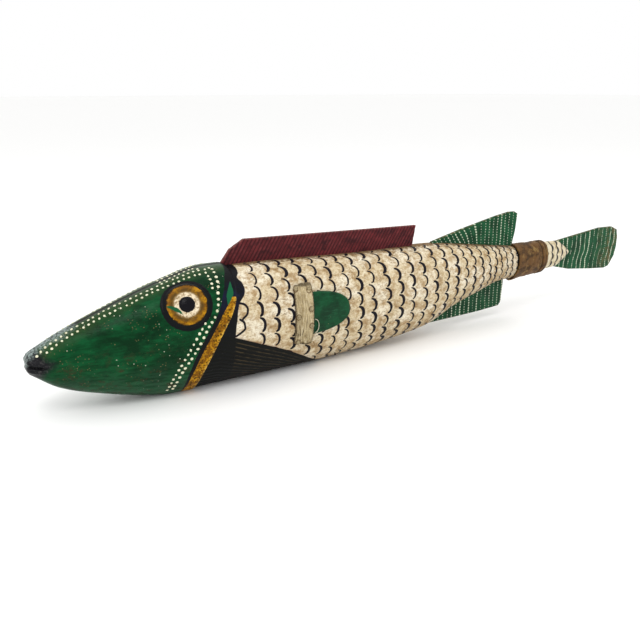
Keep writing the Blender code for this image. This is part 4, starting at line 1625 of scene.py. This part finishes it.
@dataclass
class Sleeve:
    """The leather sleeve that hinges the tail, tight over both stubs with a rolled hem behind."""

    shape: LogShape
    front_x: float = 0.2131
    rear_x: float = 0.2745
    play: float = 0.0003
    wall: float = 0.0023
    hem_x: float = 0.2640
    flap: float = 0.0055

    def build(self) -> bpy.types.Object:
        """Models the sleeve.

        Returns:
            The finished piece, with "crease" stored for its leather.
        """
        kept: list[Array] = []

        def place(along: Array, around: Array) -> Array:
            """The sleeve's surface, slack in the middle, with a rolled hem and a flap.

            Args:
                along: Shares of the way along.
                around: Shares of the way round.

            Returns:
                One point for each place.
            """
            angle = np.pi / 2 + 2 * np.pi * around
            across, up = self.shape.unit(angle)
            x = self.front_x + along * (self.rear_x - self.front_x)
            flap = bell(np.mod(around - 0.43 + 0.5, 1.0) - 0.5, 0.10) * (1 - ramp(0.0, 0.22, along))
            ring = np.stack([x, 0.02 * across, 0.02 * up], axis=1)
            slack = 1.6 * hilly(ring * (1, 0.7, 0.7), 15, 5) + 0.9 * hilly(ring, 6.5, 8)
            soft = np.sin(np.clip(along, 0, 1) * np.pi) ** 0.5
            wobble = x + 0.0009 * hilly(ring, 16, 12)
            hem = ramp(self.hem_x - 0.0012, self.hem_x + 0.0006, wobble)
            crease = bell(wobble - self.hem_x + 0.0016, 0.0011)
            second = bell(wobble - self.hem_x - 0.0055, 0.0008)
            out = self.play + (0.5 * slack * soft + 0.8 * hem - 0.8 * crease - 0.6 * second) * MM
            lip = 1 - bell(along - 1, 0.02) * 0.3
            off = self.wall * lip + np.maximum(out, -0.0006) + 0.0016 * flap
            y = (self.shape.core_half_width(x) + off) * across
            z = (self.shape.core_half_height(x) + off) * up
            kept.append(crease + second)
            return np.stack([x - self.flap * flap, y, self.shape.core_middle(x) + z], axis=1)

        sleeve = Bench.sheet("leather_tail_sleeve", 72, 150, place, weld=False)
        Bench.field(sleeve, "crease", kept[0])
        Bench.edit(lambda: bpy.ops.mesh.remove_doubles(threshold=0.00002),
                   lambda: bpy.ops.mesh.normals_make_consistent(inside=False))
        Bench.thicken(sleeve, self.wall * 0.8, -1.0)
        Bench.select_only(sleeve)
        bpy.ops.object.shade_smooth_by_angle(angle=math.radians(60))
        return sleeve


@dataclass(frozen=True)
class SleeveLeather:
    """Vegetable-tanned goatskin, shrunk on wet, then darkened by hands and dust.

    It is matt brown with pale scuffs on its high places, and near-black in its creases: painted shade,
    partly grime.
    """

    brown: str = "#654726"
    dark: str = "#2e2013"
    light: str = "#94743f"

    def make(self) -> bpy.types.Material:
        """Builds the leather.

        Returns:
            The material.
        """
        p = Palette("vegetable_tanned_goatskin", self.brown, 0.58)
        blot, fine = p.cloud((13, 13, 9), 5, 0.65), p.cloud((1.1,), 4, 0.6)
        p.lay((blot, 0.56, 0.40, 0.0, 0.75), self.dark, 0.66)
        p.lay((p.cloud((9, 9, 14), 5, 0.7), 0.54, 0.70, 0.0, 0.85), self.light, 0.5)
        p.lay((fine, 0.55, 0.75, 0.0, 0.45), self.dark)
        # Near-black in the creases by the hem: painted shade, partly grime.
        crease = p.add("Attribute", out="Fac", attribute_name="crease")
        p.lay((crease, 0.15, 0.9, 0.0, 0.85), self.dark, 0.75)
        pores = p.add("TexVoronoi", p.place(1.0), at={"Scale": 1.0}, out="Distance")
        wrinkle = p.cloud((1.6, 5, 5), 3, 0.6)
        p.raise_by(pores, 0.12)
        p.raise_by(wrinkle, 0.35)
        p.raise_by(fine, 0.15)
        return p.done(0.15)


# --------------------------------------------------------------------------- the side fins


@dataclass
class FlankSheet:
    """A thin sheet that hugs the flank, drawn by how far along it is and how far up."""

    shape: LogShape
    side: Side
    middle_z: float = FIN_MIDDLE_Z

    def build(self, name: str, along: int, up: int, thick: float,
              place: Callable[[Array, Array], tuple[Array, ...]]) -> bpy.types.Object:
        """Models the sheet.

        Args:
            name: The piece's name.
            along: How many faces long it is.
            up: How many faces high it is.
            thick: Its thickness, outwards.
            place: Gives x, height over the middle, standoff and share of the thickness, for
                shares along and up.

        Returns:
            The piece.
        """
        fullness: list[Array] = []

        def lay(*shares: Array) -> Array:
            """The sheet's points, on the flank.

            Args:
                shares: Those of the way along, then those of the way up.

            Returns:
                One point for each place.
            """
            x, height, off, full = place(*shares)
            fullness.append(full)
            return np.array([self.shape.off(*spot) for spot in zip(
                x, self.middle_z + height, [self.side] * len(x), off)])

        made = Bench.sheet(name, along, up, lay, weld=False)
        Bench.weigh(made, fullness[0])
        first = made.data.polygons[0]
        if first.normal.y * self.side.value < 0:
            Bench.select_only(made)
            Bench.edit(lambda: bpy.ops.mesh.flip_normals())
        Bench.thicken(made, thick, 1.0, 0.0)
        Bench.smooth(made, 50)
        return made


@dataclass(frozen=True)
class NailRow:
    """Three nails through each strap, in metres; heights are over its middle."""

    word: str
    x: float
    heights: tuple[float, float, float]
    under: float
    length: float


STRAP_NAILS = (
    NailRow("flank", -0.1676, (0.0300, -0.0010, -0.0310), 0.0003, 0.0130),
    NailRow("fin", -0.1530, (0.0280, 0.0070, -0.0120), 0.0045, 0.0052),
)


@dataclass
class SideFin:
    """A side fin: a rounded paddle of enamelled wood, hung from a strap nailed to the flank."""

    shape: LogShape
    side: Side
    root_x: float = -0.1580
    free_x: float = -0.1500
    tip_x: float = -0.0985
    root_half: float = 0.0320
    half: float = 0.0240
    thick: float = 0.0036
    standoff: float = 0.0006
    strap_front_x: float = -0.1710
    strap_rear_x: float = -0.1492
    strap_half: float = 0.0340
    strap_thick: float = STRAP_THICK
    strap_lean: float = 0.036
    strap_under: float = 0.0003
    strap_on_fin: float = 0.0045
    strap_rise: tuple[float, float] = (-0.1640, -0.1592)
    strap_corner: float = 0.0040

    def paddle(self) -> bpy.types.Object:
        """Models the fin's paddle, with its edge rounded over.

        Returns:
            The piece.
        """
        root, free, tip = self.root_x, self.free_x, self.tip_x

        def place(a: Array, b: Array) -> tuple[Array, ...]:
            """The paddle's x, height, standoff and share of its thickness.

            Args:
                a: Shares of the way along.
                b: Shares of the way up.

            Returns:
                Those four, for each place.
            """
            turn = np.clip((a - 0.12) / 0.88, 0, 1) * np.pi / 2
            x = np.where(a < 0.12, root + (free - root) * a / 0.12,
                         free + 0.0002 + (tip - free - 0.0002) * np.sin(turn))
            half = np.where(a < 0.1, self.root_half, self.half * np.cos(turn) ** 0.75)
            spread = np.sin(np.clip(2 * b - 1, -1, 1) * np.pi / 2 * 0.98) / math.sin(np.pi / 2 * 0.98)
            edge = self.half * (1 - np.abs(np.sin((2 * b - 1) * np.pi / 2))) * np.cos(turn) ** 0.5
            edge = np.minimum(edge, (tip - free) * (1 - np.sin(turn)) + 0.00005)
            round_over = np.sqrt(np.clip(1 - (1 - np.clip(edge / 0.0022, 0, 1)) ** 2, 0, 1))
            full = np.where(a < 0.12, 0.95, 0.30 + 0.65 * round_over)
            return x, np.maximum(half, 0.0002) * spread, np.full_like(a, self.standoff), full

        sheet = FlankSheet(self.shape, self.side)
        return sheet.build(f"paddle_{self.side.word}", 64, 44, self.thick, place)

    def strap(self) -> bpy.types.Object:
        """Models the strap, stepping from the flank up on to the paddle's root.

        Returns:
            The piece.
        """

        def place(a: Array, b: Array) -> tuple[Array, ...]:
            """The strap's x, height, standoff and share of its thickness.

            Args:
                a: Shares of the way along.
                b: Shares of the way up.

            Returns:
                Those four, for each place.
            """
            x = self.strap_front_x + (self.strap_rear_x - self.strap_front_x) * a
            from_end = np.minimum(x - self.strap_front_x, self.strap_rear_x - x)
            x = x + self.strap_lean * self.strap_half * (2 * b - 1)
            round_off = self.strap_corner - np.minimum(from_end, self.strap_corner)
            corner = self.strap_corner - np.sqrt(np.maximum(self.strap_corner**2 - round_off**2, 0))
            ragged = 0.0003 * np.sin(a * 23 + 2 * self.side.value)
            height = (2 * b - 1) * (self.strap_half - 0.0004 - corner + ragged)
            climb = ramp(*self.strap_rise, x)
            off = self.strap_under + (self.strap_on_fin - self.strap_under) * climb
            edge = np.minimum(np.minimum(a, 1 - a) * 21.8, np.minimum(b, 1 - b) * 68)
            wave = 0.06 * np.sin(b * 31 + a * 5) * np.sin(a * 9)
            return x, height, off, 0.45 + 0.45 * np.sqrt(np.clip(edge / 1.2, 0, 1)) + wave

        sheet = FlankSheet(self.shape, self.side)
        strap = sheet.build(f"painted_strap_{self.side.word}", 34, 70, self.strap_thick, place)
        # The distance to the nearest nail, for the ring of painted shadow, with some rust stain, round
        # each head.
        points = Bench.points(strap)[:, [0, 2]]
        seats = [(row.x, FIN_MIDDLE_Z + height) for row in STRAP_NAILS for height in row.heights]
        gaps = [np.linalg.norm(points - seat, axis=1) for seat in seats]
        Bench.field(strap, "nail", np.min(gaps, axis=0) / MM)
        return strap


@dataclass(frozen=True)
class PaddlePaint:
    """Green oil enamel, flowed on thick and left to level: a wet gloss with faint brush lines."""

    green: str = "#0a4526"
    deep: str = "#053019"

    def make(self) -> bpy.types.Material:
        """Builds the enamel.

        Returns:
            The material.
        """
        p = Palette("flowed_green_oil_enamel", self.green, 0.20)
        blot = p.cloud((16,), 3)
        p.lay((blot, 0.42, 0.62), self.deep, 0.16)
        streak = p.cloud((12, 12, 1.8), 3, 0.6)
        p.lay((streak, 0.55, 0.75, 0.0, 0.35), "#2c6e4b")
        chip = p.add("TexVoronoi", p.place(4.2), at={"Scale": 1.0}, out="Distance")
        p.lay([(chip, 0.13, 0.08), (p.cloud((12,), 2), 0.52, 0.6)], "#7b7a52", 0.6)
        p.raise_by(streak, 0.12)
        p.raise_by(blot, 0.3)
        return p.done(0.14)


@dataclass(frozen=True)
class StrapPaint:
    """Limewash over hide: cream that has cracked and scraped off in upright streaks."""

    cream: str = "#bdab84"
    tan: str = "#93805a"
    dark: str = "#3d3122"
    # Colour of the ring round each nail head: painted shadow, with some rust stain.
    rust: str = "#5d4426"

    def make(self) -> bpy.types.Material:
        """Builds the painted hide.

        Returns:
            The material.
        """
        p = Palette("limewashed_hide", self.cream, 0.66)
        blot, fine = p.cloud((9,), 4), p.cloud((1.3,), 3)
        p.lay((blot, 0.42, 0.64, 0.0, 0.8), self.tan)
        p.lay((fine, 0.52, 0.66, 0.0, 0.5), "#7c6743")
        scrape = p.cloud((0.8, 2.5, 13), 5, 0.72)
        p.lay((scrape, 0.46, 0.40, 0.0, 0.6), "#d8cdb0")
        x, z = p.axis("X"), p.axis("Z")
        p.lay([(scrape, 0.51, 0.60), (z, 80.0, 55.0, 0.45, 1.0), (x, -154.0, -162.0, 0.6, 1.0)],
              self.dark, 0.7)
        x = p.add("Math:MULTIPLY_ADD", p.add("Math:SUBTRACT", z, 72.6), -0.036, x)
        edges = p.add("Math:MULTIPLY_ADD", fine, 3.4, p.add("Math:ABSOLUTE", p.add(
            "Math:ADD", x, 160.1)))
        p.lay((edges, 10.6, 12.2, 0.0, 0.9), self.dark, 0.7)
        ends = p.add("Math:MULTIPLY_ADD", fine, 3.0, p.add("Math:ABSOLUTE", p.add(
            "Math:SUBTRACT", z, 72.6)))
        p.lay((ends, 32.8, 35.4, 0.0, 0.8), self.dark, 0.7)
        # A dark brown ring just outside each nail head: painted shadow of the head, with some rust
        # stain.
        nail = p.add("Attribute", out="Fac", attribute_name="nail")
        ring = p.add("Math:ABSOLUTE", p.add("Math:SUBTRACT", p.add(
            "Math:MULTIPLY_ADD", fine, 1.2, nail), 3.5))
        p.lay((ring, 0.9, 0.2, 0.0, 0.9), self.rust, 0.75)
        p.raise_by(scrape, -0.3)
        p.raise_by(fine, 0.2)
        return p.done(0.15)


# --------------------------------------------------------------------------- nails and wire


@dataclass(frozen=True)
class Iron:
    """Hand-cut nail iron: dark, dull and pitted with rust, or bedded in cream paint."""

    name: str
    base: str
    over: str
    rust: str
    metallic: float

    def make(self) -> bpy.types.Material:
        """Builds the metal.

        Returns:
            The material.
        """
        p = Palette(self.name, self.base, 0.5)
        blot, fine = p.cloud((2.4,), 4, 0.6), p.cloud((0.7,), 3)
        p.lay((blot, 0.42, 0.60, 0.0, 0.8), self.over, 0.6)
        p.lay((fine, 0.54, 0.70, 0.0, 0.7), self.rust, 0.8)
        p.raise_by(blot, 0.15)
        p.raise_by(fine, 0.08)
        return p.done(0.5, metallic=self.metallic)


@dataclass
class Nail:
    """A nail or tack, by where its head sits and which way it points out."""

    name: str
    seat: Vector
    out: Vector
    head: float
    dome: float
    shank: float
    length: float
    body: str
    slot: str

    def build(self) -> bpy.types.Object:
        """Models a hammered head on a round shank.

        Returns:
            The piece.
        """
        Bench.clear()
        bpy.ops.mesh.primitive_cylinder_add(vertices=28, radius=self.shank, depth=self.length,
                                            location=(0, 0, -self.length / 2 + 0.0001))
        nail = bpy.context.active_object
        nail.name = nail.data.name = f"hammered_{self.name}"
        nail.data.transform(nail.matrix_world)
        nail.matrix_world.identity()
        flat = Bench.points(nail)
        flat[:, 2] -= 0.0001
        Bench.move(nail, flat)
        Bench.clear()
        bpy.ops.mesh.primitive_uv_sphere_add(segments=28, ring_count=16, radius=1.0)
        cap = bpy.context.active_object
        ball = Bench.points(cap)
        dented = 1 + 0.05 * hilly(ball * 0.004 + np.array(self.seat), 2.6, 3)
        rise = np.where(ball[:, 2] > 0, self.dome, 0.0003)
        cap_points = ball * self.head * 0.98
        cap_points[:, 2] = ball[:, 2] * rise * dented
        cap_points[:, :2] *= np.minimum(dented, 1.01)[:, None]
        Bench.move(cap, cap_points)
        cap.select_set(True)
        nail.select_set(True)
        bpy.context.view_layer.objects.active = nail
        bpy.ops.object.join()
        turn = self.out.to_track_quat("Z", "Y").to_matrix()
        placed = np.array(self.seat) + Bench.points(nail) @ np.array(turn).T
        Bench.move(nail, placed)
        Bench.smooth(nail, 50)
        return nail


@dataclass
class WireLoop:
    """The bent wire in each fin that its pull cord is tied to."""

    shape: LogShape
    side: Side
    x: float = -0.1475
    top_z: float = 0.0666
    bottom_z: float = 0.0516
    bulge: float = 0.0044
    wire: float = 0.0006
    face: float = 0.0042
    leg: float = 0.0026
    lift: float = 0.0011

    def build(self) -> bpy.types.Object:
        """Models the wire.

        Returns:
            The piece.
        """
        middle, half = (self.top_z + self.bottom_z) / 2, (self.top_z - self.bottom_z) / 2
        places = [self.shape.off(self.x, self.top_z, self.side, self.face - self.leg + 0.0002)]
        for degrees in range(90, -91, -6):
            angle = math.radians(degrees)
            places.append(self.shape.off(
                self.x + self.bulge * math.cos(angle), middle + half * math.sin(angle),
                self.side, self.face + self.lift))
        places.append(
            self.shape.off(self.x, self.bottom_z, self.side, self.face - self.leg + 0.0002))
        curve = bpy.data.curves.new(f"bent_wire_{self.side.word}", "CURVE")
        curve.dimensions = "3D"
        curve.bevel_depth, curve.bevel_resolution = self.wire * 0.98, 4
        curve.use_fill_caps = True
        spline = curve.splines.new("POLY")
        spline.points.add(len(places) - 1)
        for point, place in zip(spline.points, places):
            point.co = (*place, 1)
        loop = bpy.data.objects.new(curve.name, curve)
        bpy.context.collection.objects.link(loop)
        Bench.select_only(loop)
        bpy.ops.object.convert(target="MESH")
        Bench.edit(lambda: bpy.ops.mesh.remove_doubles(threshold=0.00002))
        Bench.smooth(loop, 50)
        return loop


# --------------------------------------------------------------------------------- the fish


@dataclass
class Fish:
    """The whole fish: builds each piece, paints it and hangs it on its body."""

    shape: LogShape = field(default_factory=LogShape)
    gill: Gill = field(default_factory=Gill)
    eye: Eye = field(default_factory=Eye)
    lines: PaintLines = field(default_factory=PaintLines)

    def hang(self, piece: bpy.types.Object, paint: bpy.types.Material, slot: str, body: str,
             *nodes: str) -> None:
        """Paints a piece, and hangs it on its body in place of its CAD nodes.

        Args:
            piece: The piece.
            paint: Its material.
            slot: The material slot's name; not used.
            body: The body that it moves with.
            nodes: The CAD nodes that it replaces.
        """
        piece.data.materials.clear()
        piece.data.materials.append(paint)
        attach(piece, body)
        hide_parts(*nodes)
        LOG.info("%s: %d faces", piece.name, len(piece.data.polygons))

    def bend(self, piece: bpy.types.Object, paint: bpy.types.Material, slot: str,
             bodies: tuple[str, str], start: tuple, end: tuple, node: str) -> None:
        """Paints a leather piece, bakes its place into its points and hides the CAD node that it
        replaces.

        Args:
            piece: The piece.
            paint: Its material.
            slot: The material slot's name; not used.
            bodies: The bodies at its two ends; not used.
            start: Where the bend would start; not used.
            end: Where it would end; not used.
            node: The CAD node that it replaces.
        """
        piece.data.materials.clear()
        piece.data.materials.append(paint)
        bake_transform(piece)
        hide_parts(node)
        LOG.info("%s: %d faces, bends", piece.name, len(piece.data.polygons))

    def make_log(self) -> None:
        """The carved log and the paint dots on its head."""
        unrolled = Unrolled(self.shape, self.gill)
        log = PaintedLog(unrolled, self.gill, self.eye, self.lines)
        self.hang(log.build(), LogPaint().make(self.lines), "cream_painted_wood", "trunk",
                  "fish_body")
        dots = PaintDots(log, tuple(DotRow(*row) for row in HEAD_DOTS)).build()
        beads = Palette("thick_cream_oil_paint", "#e4e2c4", 0.4)
        beads.lay((beads.cloud((3.0,), 3), 0.5, 0.66, 0.0, 0.7), "#b9b58c")
        beads.raise_by(beads.cloud((0.9,), 2), 0.08)
        self.hang(dots, beads.done(0.45), "cream_painted_wood", "trunk", "fish_body")

    def make_boards(self) -> None:
        """The four flat fins."""
        dorsal = Board("scored_dorsal_fin", "dorsal_fin", "trunk", (
            (-0.2330, 0.1186), (-0.2375, 0.1336), (-0.2270, 0.1471), (-0.2095, 0.1568),
            (0.0345, 0.1484), (0.0300, 0.1246), (0.0275, 0.1126),
        ), 0.006, cell=0.00125, lean=0.63, groove_pitch=0.0050)
        rear = Board("dotted_rear_dorsal_fin", "rear_dorsal_fin", "trunk", (
            (0.0590, 0.1100), (0.0620, 0.1236), (0.1127, 0.1349), (0.1770, 0.1472),
            (0.2010, 0.1507), (0.2125, 0.1504), (0.2185, 0.1471), (0.2165, 0.1236),
            (0.2119, 0.1034), (0.2040, 0.0921),
        ), 0.005)
        anal = Board("dotted_anal_fin", "anal_fin", "trunk", (
            (0.0400, 0.0112), (0.1107, 0.0124), (0.1541, 0.0134), (0.1940, 0.0158),
            (0.1985, 0.0211), (0.2005, 0.0534), (0.1950, 0.0671),
            (0.1200, 0.0496), (0.0520, 0.0236),
        ), 0.005)
        tail = Board("striped_tail_fin", "tail_fin", "tail", (
            (0.3035, 0.0596), (0.3390, 0.0510), (0.3925, 0.0446), (0.4257, 0.0416),
            (0.4359, 0.0440), (0.4470, 0.0596), (0.4500, 0.0731), (0.4500, 0.0896),
            (0.4465, 0.1016), (0.4330, 0.1074), (0.4018, 0.1083), (0.3513, 0.1030),
            (0.3035, 0.0981),
        ), 0.005)
        dots = FinPaint(FinLines.FAN_OF_DOTS, 7.4, 0.72, 152, 115)
        below = FinPaint(FinLines.FAN_OF_DOTS, 7.8, -0.2, 90, 30, green="#19472c", dark="#0d341e")
        waves = FinPaint(FinLines.WAVY_STROKES, 10.0, wear_from=395)
        painted = (
            (dorsal, MaroonPaint().make(), "red_painted_wood"),
            (rear, dots.make("green_enamel_with_fanned_dots"), "green_enamel"),
            (anal, below.make("green_enamel_with_upright_dots"), "green_enamel"),
            (tail, waves.make("green_enamel_with_wavy_strokes"), "green_enamel"),
        )
        for board, paint, slot in painted:
            self.hang(board.build(), paint, slot, board.body, board.node)

    def make_tail_joint(self) -> None:
        """The tail's stock and the sleeve that hinges it."""
        stock = TailStock(self.shape).build()
        self.hang(stock, StockPaint().make(), "cream_painted_wood", "tail", "tail_stock")
        sleeve = Sleeve(self.shape).build()
        axis_z = float(self.shape.core_middle(0.246))
        self.bend(sleeve, SleeveLeather().make(), "brown_hide", ("trunk", "tail"),
                  (0.226, 0, axis_z), (0.264, 0, axis_z), "tail_sleeve")

    def make_side_fins(self) -> None:
        """Each side's paddle, strap and wire loop."""
        enamel, limewash = PaddlePaint().make(), StrapPaint().make()
        wire = Iron("drawn_wire_with_paint_on_it", "#b9b7a0", "#8d8a74", "#6d5636", 0.35).make()
        for side in Side:
            body = f"{side.word}_fin"
            fin = SideFin(self.shape, side)
            self.hang(fin.paddle(), enamel, "green_enamel", body, f"side_fin_{side.word}")
            y = side.value * float(self.shape.flank(-0.16, FIN_MIDDLE_Z))
            start, end = ((x, y, FIN_MIDDLE_Z) for x in (-0.1640, -0.1590))
            self.bend(fin.strap(), limewash, "painted_hide", ("trunk", body), start, end,
                      f"fin_strap_{side.word}")
            loop = WireLoop(self.shape, side).build()
            self.hang(loop, wire, "painted_iron", body, f"pull_loop_{side.word}")

    def nails(self) -> list[Nail]:
        """Every nail and tack.

        Returns:
            The nails, still to be built.
        """
        found = []
        for side in Side:
            for row in STRAP_NAILS:
                body = "trunk" if row.word == "flank" else f"{side.word}_fin"
                for number, height in enumerate(row.heights, 1):
                    z = FIN_MIDDLE_Z + height
                    seat = self.shape.off(row.x, z, side, row.under + STRAP_THICK + 0.0005)
                    found.append(Nail(f"{row.word}_nail_{side.word}_{number}", seat,
                                      self.shape.normal(row.x, z, side), 0.0027, 0.0011, 0.0008,
                                      row.length, body, "painted_iron"))
        for piece, x, body in (("neck", 0.2240, "trunk"), ("stock", 0.2660, "tail")):
            for place, across, up in (("side", 1, 0), ("under", 0, -1)):
                out = Vector((0, across, up))
                line = self.shape.core_half_width if across else self.shape.core_half_height
                seat = Vector((x, 0, float(self.shape.core_middle(x))))
                seat += out * (float(line(x)) + 0.0023 + 0.0007)
                found.append(Nail(f"{piece}_tack_{place}", seat, out, 0.0026, 0.0010, 0.0007,
                                  0.0100, body, "iron_tack"))
        x, z = -0.1045, 0.0096
        found.append(Nail("belly_nail", self.shape.off(x, z, Side.LEFT, 0.0018),
                          self.shape.normal(x, z, Side.LEFT), 0.0018, 0.0009, 0.0008, 0.0130,
                          "trunk", "iron_tack"))
        return found

    def make_nails(self) -> None:
        """The nails in the straps, the tacks in the sleeve and the nail in the belly."""
        metals = {
            "painted_iron": Iron("limewashed_nail_iron", "#a3946f", "#6f5f43", "#4a3524", 0.1),
            "iron_tack": Iron("blackened_cut_tack_iron", "#3a3430", "#57483a", "#5c3a22", 0.7),
        }
        made = {slot: metal.make() for slot, metal in metals.items()}
        for nail in self.nails():
            self.hang(nail.build(), made[nail.slot], nail.slot, nail.body, nail.name)


HEAD_DOTS: tuple[tuple[Pairs, float, float], ...] = (
    (((-430.4, 70.7), (-419.5, 77.3), (-408.3, 83.2), (-397.1, 88.1), (-385.1, 93.3),
      (-369.1, 99.4), (-346.0, 107.4), (-323.3, 115.4), (-308.0, 119.5), (-290.2, 124.3),
      (-276.4, 127.0), (-269.8, 127.7)), 5.9, 1.3),
    (((-439.6, 68.0), (-428.1, 76.1), (-414.9, 82.8), (-401.1, 89.0), (-386.9, 94.8),
      (-366.3, 102.5), (-342.0, 111.2), (-318.9, 118.5), (-303.4, 123.0), (-288.6, 126.7),
      (-276.4, 129.3), (-262.9, 130.3), (-256.5, 130.6)), 6.0, 1.3),
    (((-309.0, 122.3), (-294.0, 126.6), (-280.0, 129.9), (-268.0, 130.9)), 6.0, 1.25),
    (((-254.3, 129.8), (-254.8, 125.4), (-256.1, 118.3), (-257.8, 113.6), (-259.4, 109.1),
      (-261.9, 98.8), (-264.2, 93.2), (-267.3, 87.6), (-274.3, 79.4), (-284.6, 62.6),
      (-295.5, 45.9), (-304.2, 32.1), (-311.6, 11.4)), 6.2, 1.6),
    (((-263.4, 128.2), (-262.7, 124.6), (-262.4, 120.4), (-263.4, 115.4)), 5.2, 1.5),
    (((-277.9, 83.0), (-285.9, 72.2), (-296.2, 56.0), (-304.7, 42.1), (-312.9, 25.7),
      (-317.1, 10.3)), 6.3, 1.45),
)


SOFTBOXES: tuple[tuple[str, tuple[float, float, float], float, float], ...] = (
    ("key_softbox", (-0.9, -1.0, 2.0), 0.9, 12),
    ("top_softbox", (0.2, 0.1, 2.1), 1.6, 5),
    ("fill_softbox", (1.7, -0.8, 0.9), 1.2, 1.5),
    ("rear_softbox", (0.2, 1.9, 1.0), 1.4, 3),
)


@dataclass
class Studio:
    """A pale sweep of floor, soft light from above and in front, and the camera."""

    aim: Vector = field(default_factory=lambda: Vector((-0.108943, 0.0, 0.0450)))
    distance: float = 0.87484
    azimuth: float = -32.0
    elevation: float = 18.0
    lens: float = 40.17

    def build(self) -> None:
        """Sets the floor, the lights, the world and the camera."""
        scene = bpy.context.scene
        Bench.clear()
        bpy.ops.mesh.primitive_plane_add(size=60, location=(0, 0, -0.0004))
        floor = bpy.context.active_object
        floor.name = floor.data.name = "studio_floor"
        paper = Palette("matt_white_paper_sweep", "#fcfcfb", 0.9)
        floor.data.materials.append(paper.done(0.1))
        for light in SOFTBOXES:
            self._light(*light)
        world = bpy.data.worlds.new("studio_world")
        scene.world = world
        world.use_nodes = True
        world.node_tree.nodes["Background"].inputs["Color"].default_value = linear("#ffffff")
        world.node_tree.nodes["Background"].inputs["Strength"].default_value = 1.0
        scene.view_settings.view_transform = "Standard"
        azimuth, elevation = math.radians(self.azimuth), math.radians(self.elevation)
        back = Vector((math.sin(azimuth) * math.cos(elevation),
                       -math.cos(azimuth) * math.cos(elevation), math.sin(elevation)))
        camera = bpy.data.objects.new("camera", bpy.data.cameras.new("camera"))
        bpy.context.collection.objects.link(camera)
        camera.location = self.aim + back * self.distance
        camera.rotation_mode = "QUATERNION"
        camera.rotation_quaternion = (-back).to_track_quat("-Z", "Y")
        camera.data.lens, camera.data.sensor_width = self.lens, 36
        camera.data.clip_start = 0.01
        scene.camera = camera

    def _light(self, name: str, place: tuple[float, float, float], size: float,
               watts: float) -> None:
        """Hangs a square soft light that faces the fish.

        Args:
            name: Its name.
            place: Where it hangs.
            size: Its side, in metres.
            watts: Its power.
        """
        light = bpy.data.lights.new(name, "AREA")
        light.size, light.energy, light.specular_factor = size, watts, 7.0
        holder = bpy.data.objects.new(name, light)
        bpy.context.collection.objects.link(holder)
        holder.location = place
        aim = self.aim - Vector(place)
        holder.rotation_euler = aim.to_track_quat("-Z", "Y").to_euler()


def main() -> None:
    """Builds the fish in order, then the studio round it."""
    logging.basicConfig(level=logging.INFO, format="%(message)s")
    fish = Fish()
    fish.make_log()
    fish.make_boards()
    fish.make_tail_joint()
    fish.make_side_fins()
    fish.make_nails()
    Studio().build()
    Bench.clear()


if __name__ == "__main__":
    main()
